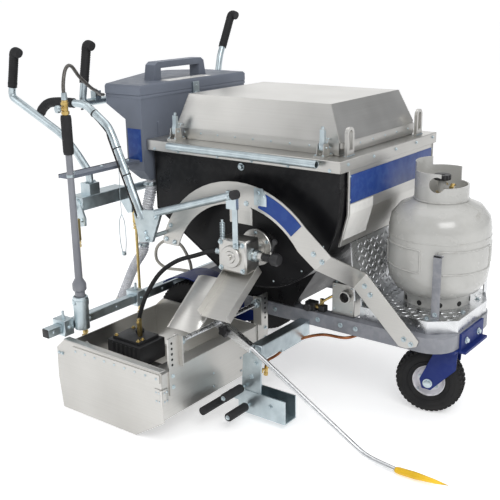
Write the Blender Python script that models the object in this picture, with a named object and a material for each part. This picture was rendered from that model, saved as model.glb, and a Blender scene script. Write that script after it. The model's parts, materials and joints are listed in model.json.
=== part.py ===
"""Walk-behind thermoplastic line striping machine.

A melting kettle on a three-wheeled frame, with a gas cylinder on the front deck, a glass bead
hopper and handlebar at the rear, and a die box that hangs beside the rear wheel.

Metres, +Z up, +X forward (the way the machine is pushed), -Y is the machine's right side, where
the die box is. The helpers work in machine coordinates, whose X = 0 is the gas cylinder's axis
and Y = 0 the frame's centre line. ORIGIN moves everything so that the world origin is the
middle of the machine's footprint.
"""
import math

import bmesh
import bpy
from mathutils import Matrix, Vector

GAP = 0.0003          # clearance between touching parts
ORIGIN = Vector((0.5306, 0.1558, 0.0))

# frame
RAIL_OUT = 0.190      # outer face of each side rail
RAIL_WIDE = 0.040
FRAME_LOW = 0.245
FRAME_TOP = 0.293
FRAME_NOSE = 0.145

# wheels
REAR_X = -0.800
REAR_Y = 0.206
REAR_R = 0.157
REAR_WIDE = 0.085
CASTER_R = 0.108
CASTER_WIDE = 0.070
CASTER_AT = Vector((0.042, -0.062, CASTER_R))
CASTER_YAW = math.radians(14.0)
CASTER_TRAIL = 0.050

# kettle
KETTLE_NEAR = 0.290   # half width of the jacket
JACKET_TOP = 0.786
RIM_TOP = 0.822
DRUM_X = -0.480       # the trough's rounding centre and the mixer's axis
DRUM_Z = 0.700
DRUM_R = 0.320
KETTLE_REAR = -0.890
LID_PIVOT = Vector((0.0, 0.247, 0.836))
CLAMP_X = (-0.236, -0.812)

# die box
BOX_REAR = -0.943
BOX_REAR_TOP = 0.212     # low at the rear, so that the box lifts clear of the toolbar
BOX_FRONT = -0.486
BOX_NEAR = -0.735
BOX_FAR = -0.270
BOX_TOP = 0.243
SHEET = 0.004

# levers
BEAM_PIVOT = Vector((-1.000, 0.0, 0.640))
VALVE_PIVOT = Vector((-0.787, 0.0, 0.530))
TUBE_R = 0.0125
GRIP_R = 0.0165
BAR_AT = Vector((-0.484, -0.470, 0.312))

MATERIALS = {
    "stainless": ((0.62, 0.60, 0.56), 0.32, 1.0),
    "zinc": ((0.55, 0.60, 0.62), 0.35, 1.0),
    "yellow_zinc": ((0.55, 0.42, 0.16), 0.35, 1.0),
    "brass": ((0.62, 0.44, 0.16), 0.30, 1.0),
    "aluminium": ((0.66, 0.67, 0.68), 0.30, 1.0),
    "tread_plate": ((0.72, 0.73, 0.74), 0.28, 1.0),
    "frame_grey": ((0.20, 0.21, 0.24), 0.40, 0.0),
    "kettle_black": ((0.012, 0.012, 0.014), 0.35, 0.0),
    "caster_blue": ((0.015, 0.04, 0.22), 0.30, 0.0),
    "tank_white": ((0.62, 0.61, 0.57), 0.30, 0.0),
    "rim_white": ((0.60, 0.58, 0.62), 0.35, 0.0),
    "hopper_grey": ((0.10, 0.115, 0.145), 0.45, 0.0),
    "rubber": ((0.012, 0.012, 0.013), 0.75, 0.0),
    "tyre": ((0.015, 0.015, 0.016), 0.80, 0.0),
    "black_plastic": ((0.015, 0.015, 0.016), 0.45, 0.0),
    "clear_hose": ((0.72, 0.72, 0.78), 0.25, 0.0),
    "grey_hose": ((0.28, 0.27, 0.25), 0.50, 0.0),
    "yellow_plastic": ((0.80, 0.52, 0.01), 0.40, 0.0),
}


# ---------------------------------------------------------------- helpers

def clear_scene():
    """Remove every object, so that the script can be run again."""
    for obj in list(bpy.data.objects):
        bpy.data.objects.remove(obj, do_unlink=True)


def material(name):
    """Return the named Principled material, making it the first time."""
    if name in bpy.data.materials:
        return bpy.data.materials[name]
    colour, rough, metal = MATERIALS[name]
    mat = bpy.data.materials.new(name)
    mat.use_nodes = True
    shader = mat.node_tree.nodes["Principled BSDF"]
    shader.inputs["Base Color"].default_value = (*colour, 1.0)
    shader.inputs["Roughness"].default_value = rough
    shader.inputs["Metallic"].default_value = metal
    return mat


def finish(name, bm, finish_name, pivot=(0, 0, 0), sharp=35.0):
    """Turn a bmesh in machine coordinates into an object whose origin is at the pivot."""
    pivot = Vector(pivot)
    bmesh.ops.translate(bm, verts=bm.verts, vec=-pivot)
    bmesh.ops.recalc_face_normals(bm, faces=bm.faces)
    if bm.calc_volume(signed=True) < 0:
        bmesh.ops.reverse_faces(bm, faces=bm.faces)
    mesh = bpy.data.meshes.new(name)
    bm.to_mesh(mesh)
    bm.free()
    mesh.shade_smooth()
    mesh.set_sharp_from_angle(angle=math.radians(sharp))
    obj = bpy.data.objects.new(name, mesh)
    obj.location = pivot + ORIGIN
    obj.data.materials.append(material(finish_name))
    bpy.context.scene.collection.objects.link(obj)
    return obj


def combine(obj, operation, *others):
    """Apply a Boolean of the other objects to obj, and remove them."""
    for other in others:
        mod = obj.modifiers.new("combine", "BOOLEAN")
        mod.operation = operation
        mod.solver = "EXACT"
        mod.object = other
        graph = bpy.context.evaluated_depsgraph_get()
        mesh = bpy.data.meshes.new_from_object(obj.evaluated_get(graph))
        obj.modifiers.clear()
        obj.data = mesh
        bpy.data.objects.remove(other, do_unlink=True)
    mesh.shade_smooth()
    mesh.set_sharp_from_angle(angle=math.radians(35.0))
    return obj


def union(obj, *others):
    return combine(obj, "UNION", *others)


def cut(obj, *others):
    return combine(obj, "DIFFERENCE", *others)


def box(name, low, high, finish_name, bevel=0.0, pivot=(0, 0, 0)):
    """A block between two corners, with chamfered edges when bevel is given."""
    low = Vector(low)
    high = Vector(high)
    bm = bmesh.new()
    bmesh.ops.create_cube(bm, size=1.0)
    bmesh.ops.scale(bm, verts=bm.verts, vec=high - low)
    bmesh.ops.translate(bm, verts=bm.verts, vec=(low + high) / 2)
    if bevel:
        bmesh.ops.bevel(bm, geom=bm.edges, offset=bevel, segments=1, affect="EDGES")
    return finish(name, bm, finish_name, pivot)


PLANES = {
    "XZ": lambda u, v, w: Vector((u, w, v)),
    "XY": lambda u, v, w: Vector((u, v, w)),
    "YZ": lambda u, v, w: Vector((w, u, v)),
}


def prism(name, outline, plane, low, high, finish_name, pivot=(0, 0, 0)):
    """A flat outline in the named plane, extruded from low to high along its normal."""
    place = PLANES[plane]
    bm = bmesh.new()
    ends = [[bm.verts.new(place(u, v, w)) for u, v in outline] for w in (low, high)]
    count = len(outline)
    for end in ends:
        bm.faces.new(end)
    for i in range(count):
        j = (i + 1) % count
        bm.faces.new((ends[0][i], ends[0][j], ends[1][j], ends[1][i]))
    return finish(name, bm, finish_name, pivot)


def arc(centre, radius, start, end, steps):
    """Points on a circle from start to end, in degrees, both included."""
    points = []
    for i in range(steps + 1):
        angle = math.radians(start + (end - start) * i / steps)
        points.append((centre[0] + radius * math.cos(angle), centre[1] + radius * math.sin(angle)))
    return points


def rounded(points, radius, steps=4):
    """The polyline with each inner corner replaced by a curve of about the given radius."""
    points = [Vector(p) for p in points]
    path = [points[0]]
    for before, corner, after in zip(points, points[1:], points[2:]):
        back = before - corner
        ahead = after - corner
        reach = min(radius, back.length * 0.45, ahead.length * 0.45)
        start = corner + back.normalized() * reach
        end = corner + ahead.normalized() * reach
        for i in range(steps + 1):
            t = i / steps
            path.append(start * (1 - t) ** 2 + corner * 2 * t * (1 - t) + end * t ** 2)
    path.append(points[-1])
    return path


def smooth_path(points, count):
    """Points at even spacing along a smooth curve through the route's points."""
    knots = [Vector(p) for p in points]
    knots = [knots[0] * 2 - knots[1]] + knots + [knots[-1] * 2 - knots[-2]]
    fine = []
    for a, b, c, d in zip(knots, knots[1:], knots[2:], knots[3:]):
        for i in range(16):
            t = i / 16
            fine.append(0.5 * (2 * b + (c - a) * t + (2 * a - 5 * b + 4 * c - d) * t ** 2
                               + (3 * b - a - 3 * c + d) * t ** 3))
    fine.append(knots[-2])
    lengths = [0.0]
    for a, b in zip(fine, fine[1:]):
        lengths.append(lengths[-1] + (b - a).length)
    path = []
    k = 0
    for i in range(count):
        want = lengths[-1] * i / (count - 1)
        while k < len(fine) - 2 and lengths[k + 1] < want:
            k += 1
        span = max(lengths[k + 1] - lengths[k], 1e-9)
        path.append(fine[k].lerp(fine[k + 1], min(max((want - lengths[k]) / span, 0.0), 1.0)))
    return path


def cord_path(points, count):
    """A smooth route whose two ends are short and straight, so that they meet fittings squarely."""
    points = [Vector(p) for p in points]
    start = (points[1] - points[0]).normalized() * 0.006
    end = (points[-2] - points[-1]).normalized() * 0.006
    inner = smooth_path(points, count)[1:-1]
    return [points[0], points[0] + start] + inner + [points[-1] + end, points[-1]]


def split_bent(bm):
    """Split every four-sided face whose corners don't lie in one plane."""
    bent = []
    for face in bm.faces:
        a, b, c, d = (v.co for v in face.verts)
        across = (b - a).cross(c - a)
        if across.length > 1e-12 and abs((d - a).dot(across.normalized())) > 1e-5:
            bent.append(face)
    bmesh.ops.triangulate(bm, faces=bent)


def sweep(name, path, section, finish_name, pivot=(0, 0, 0), up=(0, 0, 1)):
    """Sweep a closed section (list of (side, rise)) along a path and cap both ends."""
    path = [Vector(p) for p in path]
    bm = bmesh.new()
    rings = []
    side = None
    for i, point in enumerate(path):
        ahead = (path[min(i + 1, len(path) - 1)] - point).normalized() if i < len(path) - 1 else None
        back = (point - path[i - 1]).normalized() if i else None
        along = (ahead or back) if not (ahead and back) else (ahead + back).normalized()
        if side is None:
            side = along.cross(Vector(up))
            if side.length < 1e-3:
                side = along.cross(Vector((0, 1, 0)))
        side = (side - along * side.dot(along)).normalized()
        rise = side.cross(along)
        stretch = 1.0
        if ahead and back:
            stretch = 1.0 / max(math.sqrt((1 + ahead.dot(back)) / 2), 0.5)
        turn = (ahead - back) if ahead and back else Vector()
        if turn.length > 1e-6:
            turn.normalize()
        ring = []
        for s, r in section:
            offset = side * s + rise * r
            offset += turn * offset.dot(turn) * (stretch - 1.0)
            ring.append(bm.verts.new(point + offset))
        rings.append(ring)
    for a, b in zip(rings, rings[1:]):
        for i in range(len(section)):
            j = (i + 1) % len(section)
            bm.faces.new((a[i], a[j], b[j], b[i]))
    split_bent(bm)
    bm.faces.new(rings[0])
    bm.faces.new(rings[-1])
    return finish(name, bm, finish_name, pivot, 40.0)


def round_section(radius, sides):
    turn = 2 * math.pi / sides
    return [(radius * math.cos(i * turn), radius * math.sin(i * turn)) for i in range(sides)]


def tube(name, points, radius, finish_name, bend=0.0, sides=12, pivot=(0, 0, 0)):
    """A round bar along a polyline, with rounded bends."""
    path = rounded(points, bend) if bend else points
    return sweep(name, path, round_section(radius, sides), finish_name, pivot)


def turned(name, profile, centre, axis, finish_name, segments=32, closed=False, pivot=(0, 0, 0)):
    """Turn a profile of (radius, height) points round an axis through the centre."""
    spin = Vector((0, 0, 1)).rotation_difference(Vector(axis)).to_matrix()
    bm = bmesh.new()
    rings = []
    for radius, height in profile:
        count = 1 if radius < 1e-6 else segments
        ring = []
        for i in range(count):
            angle = 2 * math.pi * i / segments
            point = Vector((radius * math.cos(angle), radius * math.sin(angle), height))
            ring.append(bm.verts.new(spin @ point + Vector(centre)))
        rings.append(ring)
    pairs = list(zip(rings, rings[1:]))
    if closed:
        pairs.append((rings[-1], rings[0]))
    for a, b in pairs:
        for i in range(segments):
            j = (i + 1) % segments
            corners = [a[i % len(a)], a[j % len(a)], b[j % len(b)], b[i % len(b)]]
            face = [v for k, v in enumerate(corners) if v not in corners[:k]]
            if len(face) > 2:
                bm.faces.new(face)
    if not closed:
        for ring in (rings[0], rings[-1]):
            if len(ring) > 1:
                bm.faces.new(ring)
    return finish(name, bm, finish_name, pivot)


def rod(name, start, end, radius, finish_name, segments=16, pivot=(0, 0, 0)):
    """A plain round bar between two points."""
    start = Vector(start)
    end = Vector(end)
    profile = [(radius, 0.0), (radius, (end - start).length)]
    return turned(name, profile, start, (end - start).normalized(), finish_name, segments,
                  pivot=pivot)


def loft(name, rings, finish_name, pivot=(0, 0, 0)):
    """A closed skin through rings of equal point count, with its first and last ring capped."""
    bm = bmesh.new()
    loops = [[bm.verts.new(Vector(p)) for p in ring] for ring in rings]
    for a, b in zip(loops, loops[1:]):
        for i in range(len(a)):
            j = (i + 1) % len(a)
            bm.faces.new((a[i], a[j], b[j], b[i]))
    bm.faces.new(loops[0])
    bm.faces.new(loops[-1])
    return finish(name, bm, finish_name, pivot)


def rectangle(x0, x1, y0, y1, z):
    return [(x0, y0, z), (x1, y0, z), (x1, y1, z), (x0, y1, z)]


def grip(name, top, bottom, finish_name="rubber", pivot=(0, 0, 0)):
    """A moulded hand grip that ends in a hooked pommel."""
    top = Vector(top)
    bottom = Vector(bottom)
    along = (top - bottom).normalized()
    bottom += along * 2 * GAP
    hook = Vector((0.016, 0, -0.004))
    path = [bottom, bottom.lerp(top, 0.5), top - along * 0.016, top + hook * 0.35, top + hook * 1.6]
    return sweep(name, path, round_section(GRIP_R, 12), finish_name, pivot)


# ---------------------------------------------------------------- chassis

def frame():
    """The U-shaped main frame with its cross members and rear rails, as one welding."""
    inner = RAIL_OUT - RAIL_WIDE
    nose_r = 0.085
    bend = FRAME_NOSE - nose_r
    side = RAIL_OUT - nose_r
    outer = arc((bend, -side), nose_r, -90, 0, 6) + arc((bend, side), nose_r, 0, 90, 6)
    hollow = arc((bend, side), nose_r - RAIL_WIDE, 90, 0, 6)
    hollow += arc((bend, -side), nose_r - RAIL_WIDE, 0, -90, 6)
    outline = [(-0.560, -RAIL_OUT)] + outer + [(-0.560, RAIL_OUT), (-0.560, inner)]
    outline += hollow + [(-0.560, -inner)]
    rail = prism("frame", outline, "XY", FRAME_LOW, FRAME_TOP, "frame_grey")
    members = (
        (-0.600, -0.550, -RAIL_OUT, RAIL_OUT),
        (-0.275, -0.235, -inner - 0.005, inner + 0.005),
        (-0.9247, -0.590, -0.130, -0.090),
        (-0.9247, -0.590, 0.090, 0.130),
        (-0.9247, -0.8847, -0.100, 0.100),
    )
    for x0, x1, y0, y1 in members:
        union(rail, box("member", (x0, y0, FRAME_LOW), (x1, y1, FRAME_TOP), "frame_grey"))
    return rail


def outrigger():
    """The galvanised beam and foot that guide the die box's front, with the foot's roller."""
    low, high = 0.213, 0.262
    beam = box("outrigger", (-0.370, -0.455, low), (-0.330, -RAIL_OUT - GAP, high), "zinc", 0.002)
    union(beam, box("plate", (-0.400, -0.340, 0.200), (-0.336, -0.200, 0.218), "zinc"))
    strut = [(-0.414, 0.075), (-0.339, 0.100), (-0.334, 0.245), (-0.366, 0.245), (-0.405, 0.215)]
    union(beam, prism("strut", strut, "XZ", -0.4530, -0.4470, "zinc"))
    shoe = box("shoe", (-0.425, -0.4560, 0.022), (-0.246, -0.3950, 0.100), "zinc")
    cut(shoe, box("hollow", (-0.421, -0.4515, 0.026), (-0.20, -0.3990, 0.20), "zinc"))
    union(beam, shoe)
    rod("foot_roller", (-0.452, -0.470, 0.070), (-0.452, -0.600, 0.070), 0.013, "rubber",
        pivot=(-0.452, -0.535, 0.070))
    union(beam, rod("pin", (-0.452, -0.4697, 0.070), (-0.452, -0.4500, 0.070), 0.007, "zinc", 12))
    union(beam, box("ear", (-0.462, -0.4540, 0.057), (-0.410, -0.4490, 0.083), "zinc"))


def rear_axle_and_wheels():
    """The fixed axle with its arms and fenders as one welding, and the two wheels."""
    carrier = rod("axle_carrier", (REAR_X, -REAR_Y - 0.055, REAR_R), (REAR_X, REAR_Y + 0.055, REAR_R),
                  0.0125, "caster_blue", 20)
    half = REAR_WIDE / 2
    for side, y in (("right", -REAR_Y), ("left", REAR_Y)):
        centre = (REAR_X, y, REAR_R)
        profile = [(0.0130, -0.036), (0.030, -0.036), (0.034, -0.014), (0.078, -0.014),
                   (0.090, -half * 0.80), (0.120, -half), (0.146, -half * 0.86),
                   (REAR_R, -half * 0.45), (REAR_R, half * 0.45), (0.146, half * 0.86),
                   (0.120, half), (0.090, half * 0.80), (0.078, 0.014), (0.034, 0.014),
                   (0.030, 0.036), (0.0130, 0.036)]
        turned(f"rear_wheel_{side}", profile, centre, (0, 1, 0), "tyre", 40, True, centre)
        sign = math.copysign(1.0, y)
        arm_y = sorted((sign * 0.1450, sign * 0.1390))
        arm = [(-0.835, 0.150), (-0.820, 0.125), (-0.780, 0.125), (-0.560, 0.200), (-0.530, 0.2447),
               (-0.640, 0.2447), (-0.800, 0.215), (-0.835, 0.215)]
        union(carrier, prism("arm", arm, "XZ", *arm_y, "caster_blue"))
        outer, inner = 0.1815, 0.1775
        post = [(-0.835, 0.205), (-0.765, 0.205), (-0.785, REAR_R + 0.1795), (-0.815, REAR_R + 0.1795)]
        union(carrier, prism("post", post, "XZ", *arm_y, "caster_blue"))
        wide = sorted((sign * 0.1385, sign * 0.262))
        cover = arc((REAR_X, REAR_R), outer, 52, 128, 9) + arc((REAR_X, REAR_R), inner, 128, 52, 9)
        union(carrier, prism("fender", cover, "XZ", *wide, "caster_blue"))


def caster():
    """The swivelling front wheel in its fork, with its mount under the frame's nose."""
    ahead = Vector((math.cos(CASTER_YAW), math.sin(CASTER_YAW), 0))
    across = Vector((math.sin(CASTER_YAW), -math.cos(CASTER_YAW), 0))
    stem = CASTER_AT + ahead * CASTER_TRAIL
    stem.z = 0.0
    mount = box("caster_mount", (-0.02, -0.125, 0.2347), (0.1457, 0.045, 0.2447), "caster_blue")
    union(mount, box("face", (0.1453, -0.095, 0.2300), (0.153, 0.070, 0.292), "caster_blue"))
    union(mount, box("lip", (0.149, -0.095, 0.2295), (0.168, 0.070, 0.2375), "caster_blue"))
    crown_low, crown_high = 0.222, 0.2344
    fork = turned("caster_fork", [(0.034, crown_low), (0.034, crown_high)], stem, (0, 0, 1),
                  "caster_blue", 24, pivot=stem)
    turn = Matrix.Rotation(CASTER_YAW, 4, "Z")
    for sign in (-1, 1):
        leg = [(-0.018, CASTER_R - 0.018), (0.010, CASTER_R - 0.022), (0.085, 0.165), (0.088, 0.228),
               (0.022, 0.228), (-0.026, CASTER_R + 0.012)]
        side = sorted((sign * 0.040, sign * 0.045))
        piece = prism("leg", leg, "XZ", *side, "caster_blue")
        piece.matrix_world = Matrix.Translation(Vector((CASTER_AT.x, CASTER_AT.y, 0)) + ORIGIN) @ turn
        union(fork, piece)
    bridge = box("bridge", (0.020, -0.044, 0.2225), (0.086, 0.044, 0.2275), "caster_blue")
    bridge.matrix_world = Matrix.Translation(Vector((CASTER_AT.x, CASTER_AT.y, 0)) + ORIGIN) @ turn
    union(fork, bridge)
    half = CASTER_WIDE / 2
    tyre = [(0.052, -half * 0.75), (0.080, -half), (0.099, -half * 0.85), (CASTER_R, -half * 0.42),
            (CASTER_R, half * 0.42), (0.099, half * 0.85), (0.080, half), (0.052, half * 0.75)]
    turned("caster_tyre", tyre, CASTER_AT, across, "tyre", 40, True, CASTER_AT)
    rim = [(0.0083, -0.034), (0.020, -0.034), (0.022, -0.010), (0.040, -0.010), (0.0517, -0.024),
           (0.0517, 0.024), (0.040, 0.010), (0.022, 0.010), (0.020, 0.034), (0.0083, 0.034)]
    turned("caster_rim", rim, CASTER_AT, across, "rim_white", 28, True, CASTER_AT)
    reach = 0.0420
    union(fork, rod("pin", CASTER_AT - across * reach, CASTER_AT + across * reach, 0.0080,
                    "caster_blue"))


def deck():
    """The folded tread-plate deck with its sloped rear panel and the gas cylinder's strap."""
    low, high = FRAME_TOP + GAP, 0.333
    plan = [(-0.165, -0.155), (0.065, -0.155), (0.140, -0.095), (0.140, 0.120), (0.095, 0.215),
            (-0.165, 0.215)]
    plate = prism("deck_plate", plan, "XY", low, high, "tread_plate")
    under = [(-0.17, -0.151), (0.063, -0.151), (0.136, -0.093), (0.136, 0.118), (0.093, 0.211),
             (-0.17, 0.211)]
    cut(plate, prism("under", under, "XY", low - 0.01, high - 0.004, "tread_plate"))
    slope = [(-0.187, 0.548), (-0.183, 0.548), (-0.1610, high - 0.002), (-0.1650, high - 0.002)]
    union(plate, prism("panel", slope, "XZ", -0.150, 0.210, "tread_plate"))
    wings = [(-0.187, 0.548), (-0.183, 0.548), (-0.1640, 0.360), (-0.1680, 0.360)]
    union(plate, prism("wings", wings, "XZ", -0.186, 0.262, "tread_plate"))
    near = box("strap", (0.060, -0.1185, high - 0.002), (0.085, -0.1145, 0.530), "frame_grey")
    union(near, box("top", (0.060, -0.1185, 0.526), (0.085, -0.104, 0.530), "frame_grey"))
    union(plate, near)
    union(plate, box("far_strap", (0.100, 0.181, high - 0.002), (0.104, 0.206, 0.520), "frame_grey"))


def tank():
    """The gas cylinder: shell, foot ring, guard collar and brass valve, and its handwheel."""
    at = Vector((0.0, 0.049, 0.0))
    profile = [(0.0, 0.357), (0.090, 0.362), (0.1005, 0.3655), (0.1005, 0.3333), (0.1045, 0.3333),
               (0.1045, 0.3680), (0.135, 0.384), (0.154, 0.415), (0.159, 0.450), (0.159, 0.580),
               (0.152, 0.615), (0.128, 0.645), (0.0842, 0.664), (0.0832, 0.782), (0.0790, 0.782),
               (0.0790, 0.6655), (0.0130, 0.6715), (0.0130, 0.7240), (0.0, 0.7240)]
    body = turned("gas_cylinder", profile, at, (0, 0, 1), "tank_white", 48)
    cut(body, box("slot", (0.030, -0.03, 0.712), (0.12, 0.128, 0.80), "tank_white"))
    cut(body, box("dip", (-0.060, -0.10, 0.755), (0.060, 0.20, 0.80), "tank_white"))
    cut(body, rod("eye", (0.035, -0.10, 0.722), (0.012, 0.0, 0.722), 0.024, "tank_white", 20))
    union(body, rod("outlet", (0.003, 0.049, 0.700), (0.045, 0.049, 0.700), 0.0093, "brass", 12))
    wheel = [(0.0, 0.7243), (0.024, 0.7243), (0.026, 0.734), (0.022, 0.742), (0.0, 0.742)]
    turned("cylinder_handwheel", wheel, at, (0, 0, 1), "black_plastic", 16, pivot=at)


def burner():
    """The burner box behind the frame's near rail, with its round air inlet."""
    low = FRAME_TOP + GAP
    case = box("burner_box", (-0.262, -0.166, low), (-0.180, 0.060, 0.400), "stainless", 0.002)
    inlet = turned("inlet", [(0.016, -0.008), (0.021, -0.008), (0.021, 0.018), (0.016, 0.018)],
                   (-0.207, -0.166, 0.362), (0, -1, 0), "stainless", 24, True)
    union(case, inlet)


# ---------------------------------------------------------------- kettle

def trough(shrink, top):
    """The kettle's side outline, drawn in by shrink: a sloped rear and a round bottom and front."""
    radius = DRUM_R - shrink
    rear = KETTLE_REAR + shrink
    points = [(rear, top), (rear, 0.585 + shrink * 0.3)]
    points += arc((DRUM_X, DRUM_Z), radius, 246, 360, 18)
    points.append((DRUM_X + radius, top))
    return points


def kettle():
    """The black jacket with its burner shroud, the pot inside it, and the stainless rim."""
    wide = KETTLE_NEAR
    low, top = FRAME_TOP + 0.009, 0.464
    shroud = [(-0.6855, top), (-0.575, low), (-0.385, low), (-0.280, top)]
    jacket = prism("kettle_jacket", shroud, "XZ", -0.205, 0.205, "kettle_black")
    hollow = [(-0.676, top + 0.006), (-0.570, low - 0.01), (-0.390, low - 0.01), (-0.288, top + 0.006)]
    cut(jacket, prism("hollow", hollow, "XZ", -0.200, 0.200, "kettle_black"))
    cut(jacket, prism("bed", trough(0.005, 0.9), "XZ", -0.3, 0.3, "kettle_black"))
    tub = prism("tub", trough(0.0, JACKET_TOP), "XZ", -wide, wide, "kettle_black")
    cut(tub, prism("inside", trough(0.010, JACKET_TOP + 0.01), "XZ", -wide + 0.01, wide - 0.01,
                   "kettle_black"))
    union(jacket, tub)
    pot_wide = 0.245
    pot = prism("kettle_pot", trough(0.035, RIM_TOP - 0.0045), "XZ", -pot_wide, pot_wide, "stainless")
    cut(pot, prism("inside", trough(0.039, RIM_TOP), "XZ", -pot_wide + 0.004, pot_wide - 0.004,
                   "stainless"))


def mixer():
    """The paddle shaft that turns across the kettle."""
    axis = Vector((DRUM_X, 0, DRUM_Z))
    reach = 0.238
    shaft = rod("mixer", (DRUM_X, -reach, DRUM_Z), (DRUM_X, reach, DRUM_Z), 0.012, "stainless", 16,
                pivot=axis)
    for y, angle in ((-0.150, 45), (0.0, 105), (0.150, 165)):
        arm = Vector((math.cos(math.radians(angle)), 0, math.sin(math.radians(angle))))
        centre = axis + Vector((0, y, 0))
        union(shaft, rod("spokes", centre - arm * 0.225, centre + arm * 0.225, 0.007, "stainless", 8))
        for sign in (-1, 1):
            tip = centre + arm * sign * 0.222
            half = Vector((0.012, 0.040, 0.012))
            union(shaft, box("blade", tip - half, tip + half, "stainless"))


def lid():
    """The kettle's stainless lid: a skirt under a hollow truncated pyramid."""
    bottom, fold, top = RIM_TOP + GAP, 0.866, 0.969
    wall = 0.003

    def rings(inset):
        return [
            rectangle(-0.832 + inset, -0.200 - inset, -0.235 + inset, 0.235 - inset, bottom),
            rectangle(-0.832 + inset, -0.200 - inset, -0.235 + inset, 0.235 - inset, fold),
            rectangle(-0.797 + inset, -0.245 - inset, -0.210 + inset, 0.210 - inset,
                      top - (wall if inset else 0.0)),
        ]
    cover = loft("kettle_lid", rings(0.0), "stainless", LID_PIVOT)
    inner = rings(wall)
    inner[0] = rectangle(-0.829, -0.203, -0.232, 0.232, bottom - 0.01)
    cut(cover, loft("inside", inner, "stainless"))


def rim():
    """The stainless rim with the welded hinge, lugs, clamp seats, hopper ears and heat shield."""
    x0, x1, y1 = -0.904, -0.148, 0.312
    top = RIM_TOP
    plate = box("kettle_rim", (x0, -y1, JACKET_TOP + GAP), (x1, y1, top), "stainless", 0.0015)
    cut(plate, box("under", (x0 + 0.004, -y1 + 0.004, 0.7), (x1 - 0.004, y1 - 0.004, top - 0.004),
                   "stainless"))
    cut(plate, box("mouth", (-0.800, -0.225, 0.7), (-0.205, 0.225, 0.9), "stainless"))
    apron = box("apron", (-0.1555, -0.262, 0.6550), (-0.1510, 0.290, 0.8190), "stainless")
    slope = [(-0.1850, 0.553), (-0.1552, 0.658), (-0.1513, 0.657), (-0.1810, 0.551)]
    union(apron, prism("slope", slope, "XZ", -0.261, 0.289, "stainless"))
    union(plate, apron)
    union(plate, box("hinge_leaf", (-0.812, 0.2440, top - 0.001), (-0.220, 0.2500, 0.832), "stainless"))
    union(plate, rod("barrel", (-0.814, 0.247, 0.836), (-0.218, 0.247, 0.836), 0.007, "stainless", 16))
    for y in (-0.212, 0.232):
        strap = [(y - 0.020, top - 0.001)]
        strap += arc((y, 0.888), 0.020, 180, 0, 8) + [(y + 0.020, top - 0.001)]
        lug = prism("lug", strap, "YZ", -0.184, -0.174, "stainless")
        slot = [(y - 0.010, 0.840)] + arc((y, 0.888), 0.010, 180, 0, 6)
        slot += [(y + 0.010, 0.840)]
        cut(lug, prism("slot", slot, "YZ", -0.20, -0.16, "stainless"))
        union(plate, lug)
    for x in CLAMP_X:
        clamp_seat(plate, x)


def clamp_seat(plate, x):
    """Weld one toggle clamp's base and cheeks to the rim."""
    union(plate, box("seat", (x - 0.018, -0.292, RIM_TOP - 0.001), (x + 0.018, -0.240, 0.828), "zinc"))
    for sign in (-1, 1):
        cheek = [(-0.286, 0.826), (-0.250, 0.826), (-0.256, 0.862), (-0.280, 0.862)]
        ends = sorted((x + sign * 0.0095, x + sign * 0.0125))
        union(plate, prism("cheek", cheek, "YZ", *ends, "zinc"))


def toggle_clamp(where, x):
    """The swinging handle of a toggle clamp."""
    pivot = Vector((x, -0.268, 0.850))
    handle = [(-0.277, 0.842), (-0.259, 0.842), (-0.257, 0.860), (-0.2625, 0.870), (-0.2625, 0.900),
              (-0.2735, 0.903), (-0.2735, 0.870), (-0.279, 0.860)]
    prism(f"clamp_handle_{where}", handle, "YZ", x - 0.008, x + 0.008, "zinc", pivot)


def side_rail():
    """The open-ended tube on the rim's right side, with its two clips."""
    y, z = -0.3335, 0.812
    rail = rod("side_rail", (-0.790, y, z), (-0.215, y, z), 0.0120, "zinc", 16)
    cut(rail, rod("bore", (-0.5, y, z), (-0.20, y, z), 0.0095, "zinc", 16))
    for x in (-0.765, -0.330):
        clip = box("clip", (x - 0.010, -0.3300, 0.7975), (x + 0.010, -0.3124, 0.8030), "zinc")
        union(rail, clip)


def side_arch():
    """The bent side plate: an arch over the valve, a jog inwards, and a tail on the frame."""
    centre = (-0.483, 0.395)
    outer, inner = 0.340, 0.270
    near, tail_y = -0.362, -0.1945
    flat = [(-0.800, 0.488)]
    flat += arc(centre, outer, 161, 43, 20)
    flat += [(-0.146, 0.553), (-0.201, 0.504)]
    flat += arc(centre, inner, 35, 80, 8)
    flat += [(-0.429, 0.655), (-0.429, 0.605), (-0.516, 0.605), (-0.516, 0.655)]
    flat += arc(centre, inner, 98, 160, 10)
    fold_a = [(-0.201, 0.504), (-0.146, 0.553)]
    fold_b = [(-0.167, 0.406), (-0.123, 0.460)]
    tail_end = [(-0.007, 0.251), (0.020, 0.249), (0.052, 0.262), (0.059, 0.280)]
    bm = bmesh.new()
    cache = {}

    def vert(u, v, y):
        key = (round(u, 5), round(v, 5), round(y, 5))
        if key not in cache:
            cache[key] = bm.verts.new((u, y, v))
        return cache[key]
    bm.faces.new([vert(u, v, near) for u, v in flat])
    jog = [vert(*fold_a[0], near), vert(*fold_a[1], near),
           vert(*fold_b[1], tail_y), vert(*fold_b[0], tail_y)]
    bm.faces.new(jog)
    bm.faces.new([vert(*fold_b[0], tail_y), vert(*fold_b[1], tail_y)]
                 + [vert(u, v, tail_y) for u, v in reversed(tail_end)])
    bmesh.ops.recalc_face_normals(bm, faces=bm.faces)
    if sum(f.normal.y * f.calc_area() for f in bm.faces) > 0:
        bmesh.ops.reverse_faces(bm, faces=bm.faces)
    mesh = bpy.data.meshes.new("side_arch")
    bm.to_mesh(mesh)
    bm.free()
    obj = bpy.data.objects.new("side_arch", mesh)
    obj.location = ORIGIN
    mesh.materials.append(material("stainless"))
    bpy.context.scene.collection.objects.link(obj)
    solid = obj.modifiers.new("thickness", "SOLIDIFY")
    solid.thickness = 0.0036
    solid.offset = -1.0
    solid.use_even_offset = True
    return obj


# ---------------------------------------------------------------- bead hopper

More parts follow.
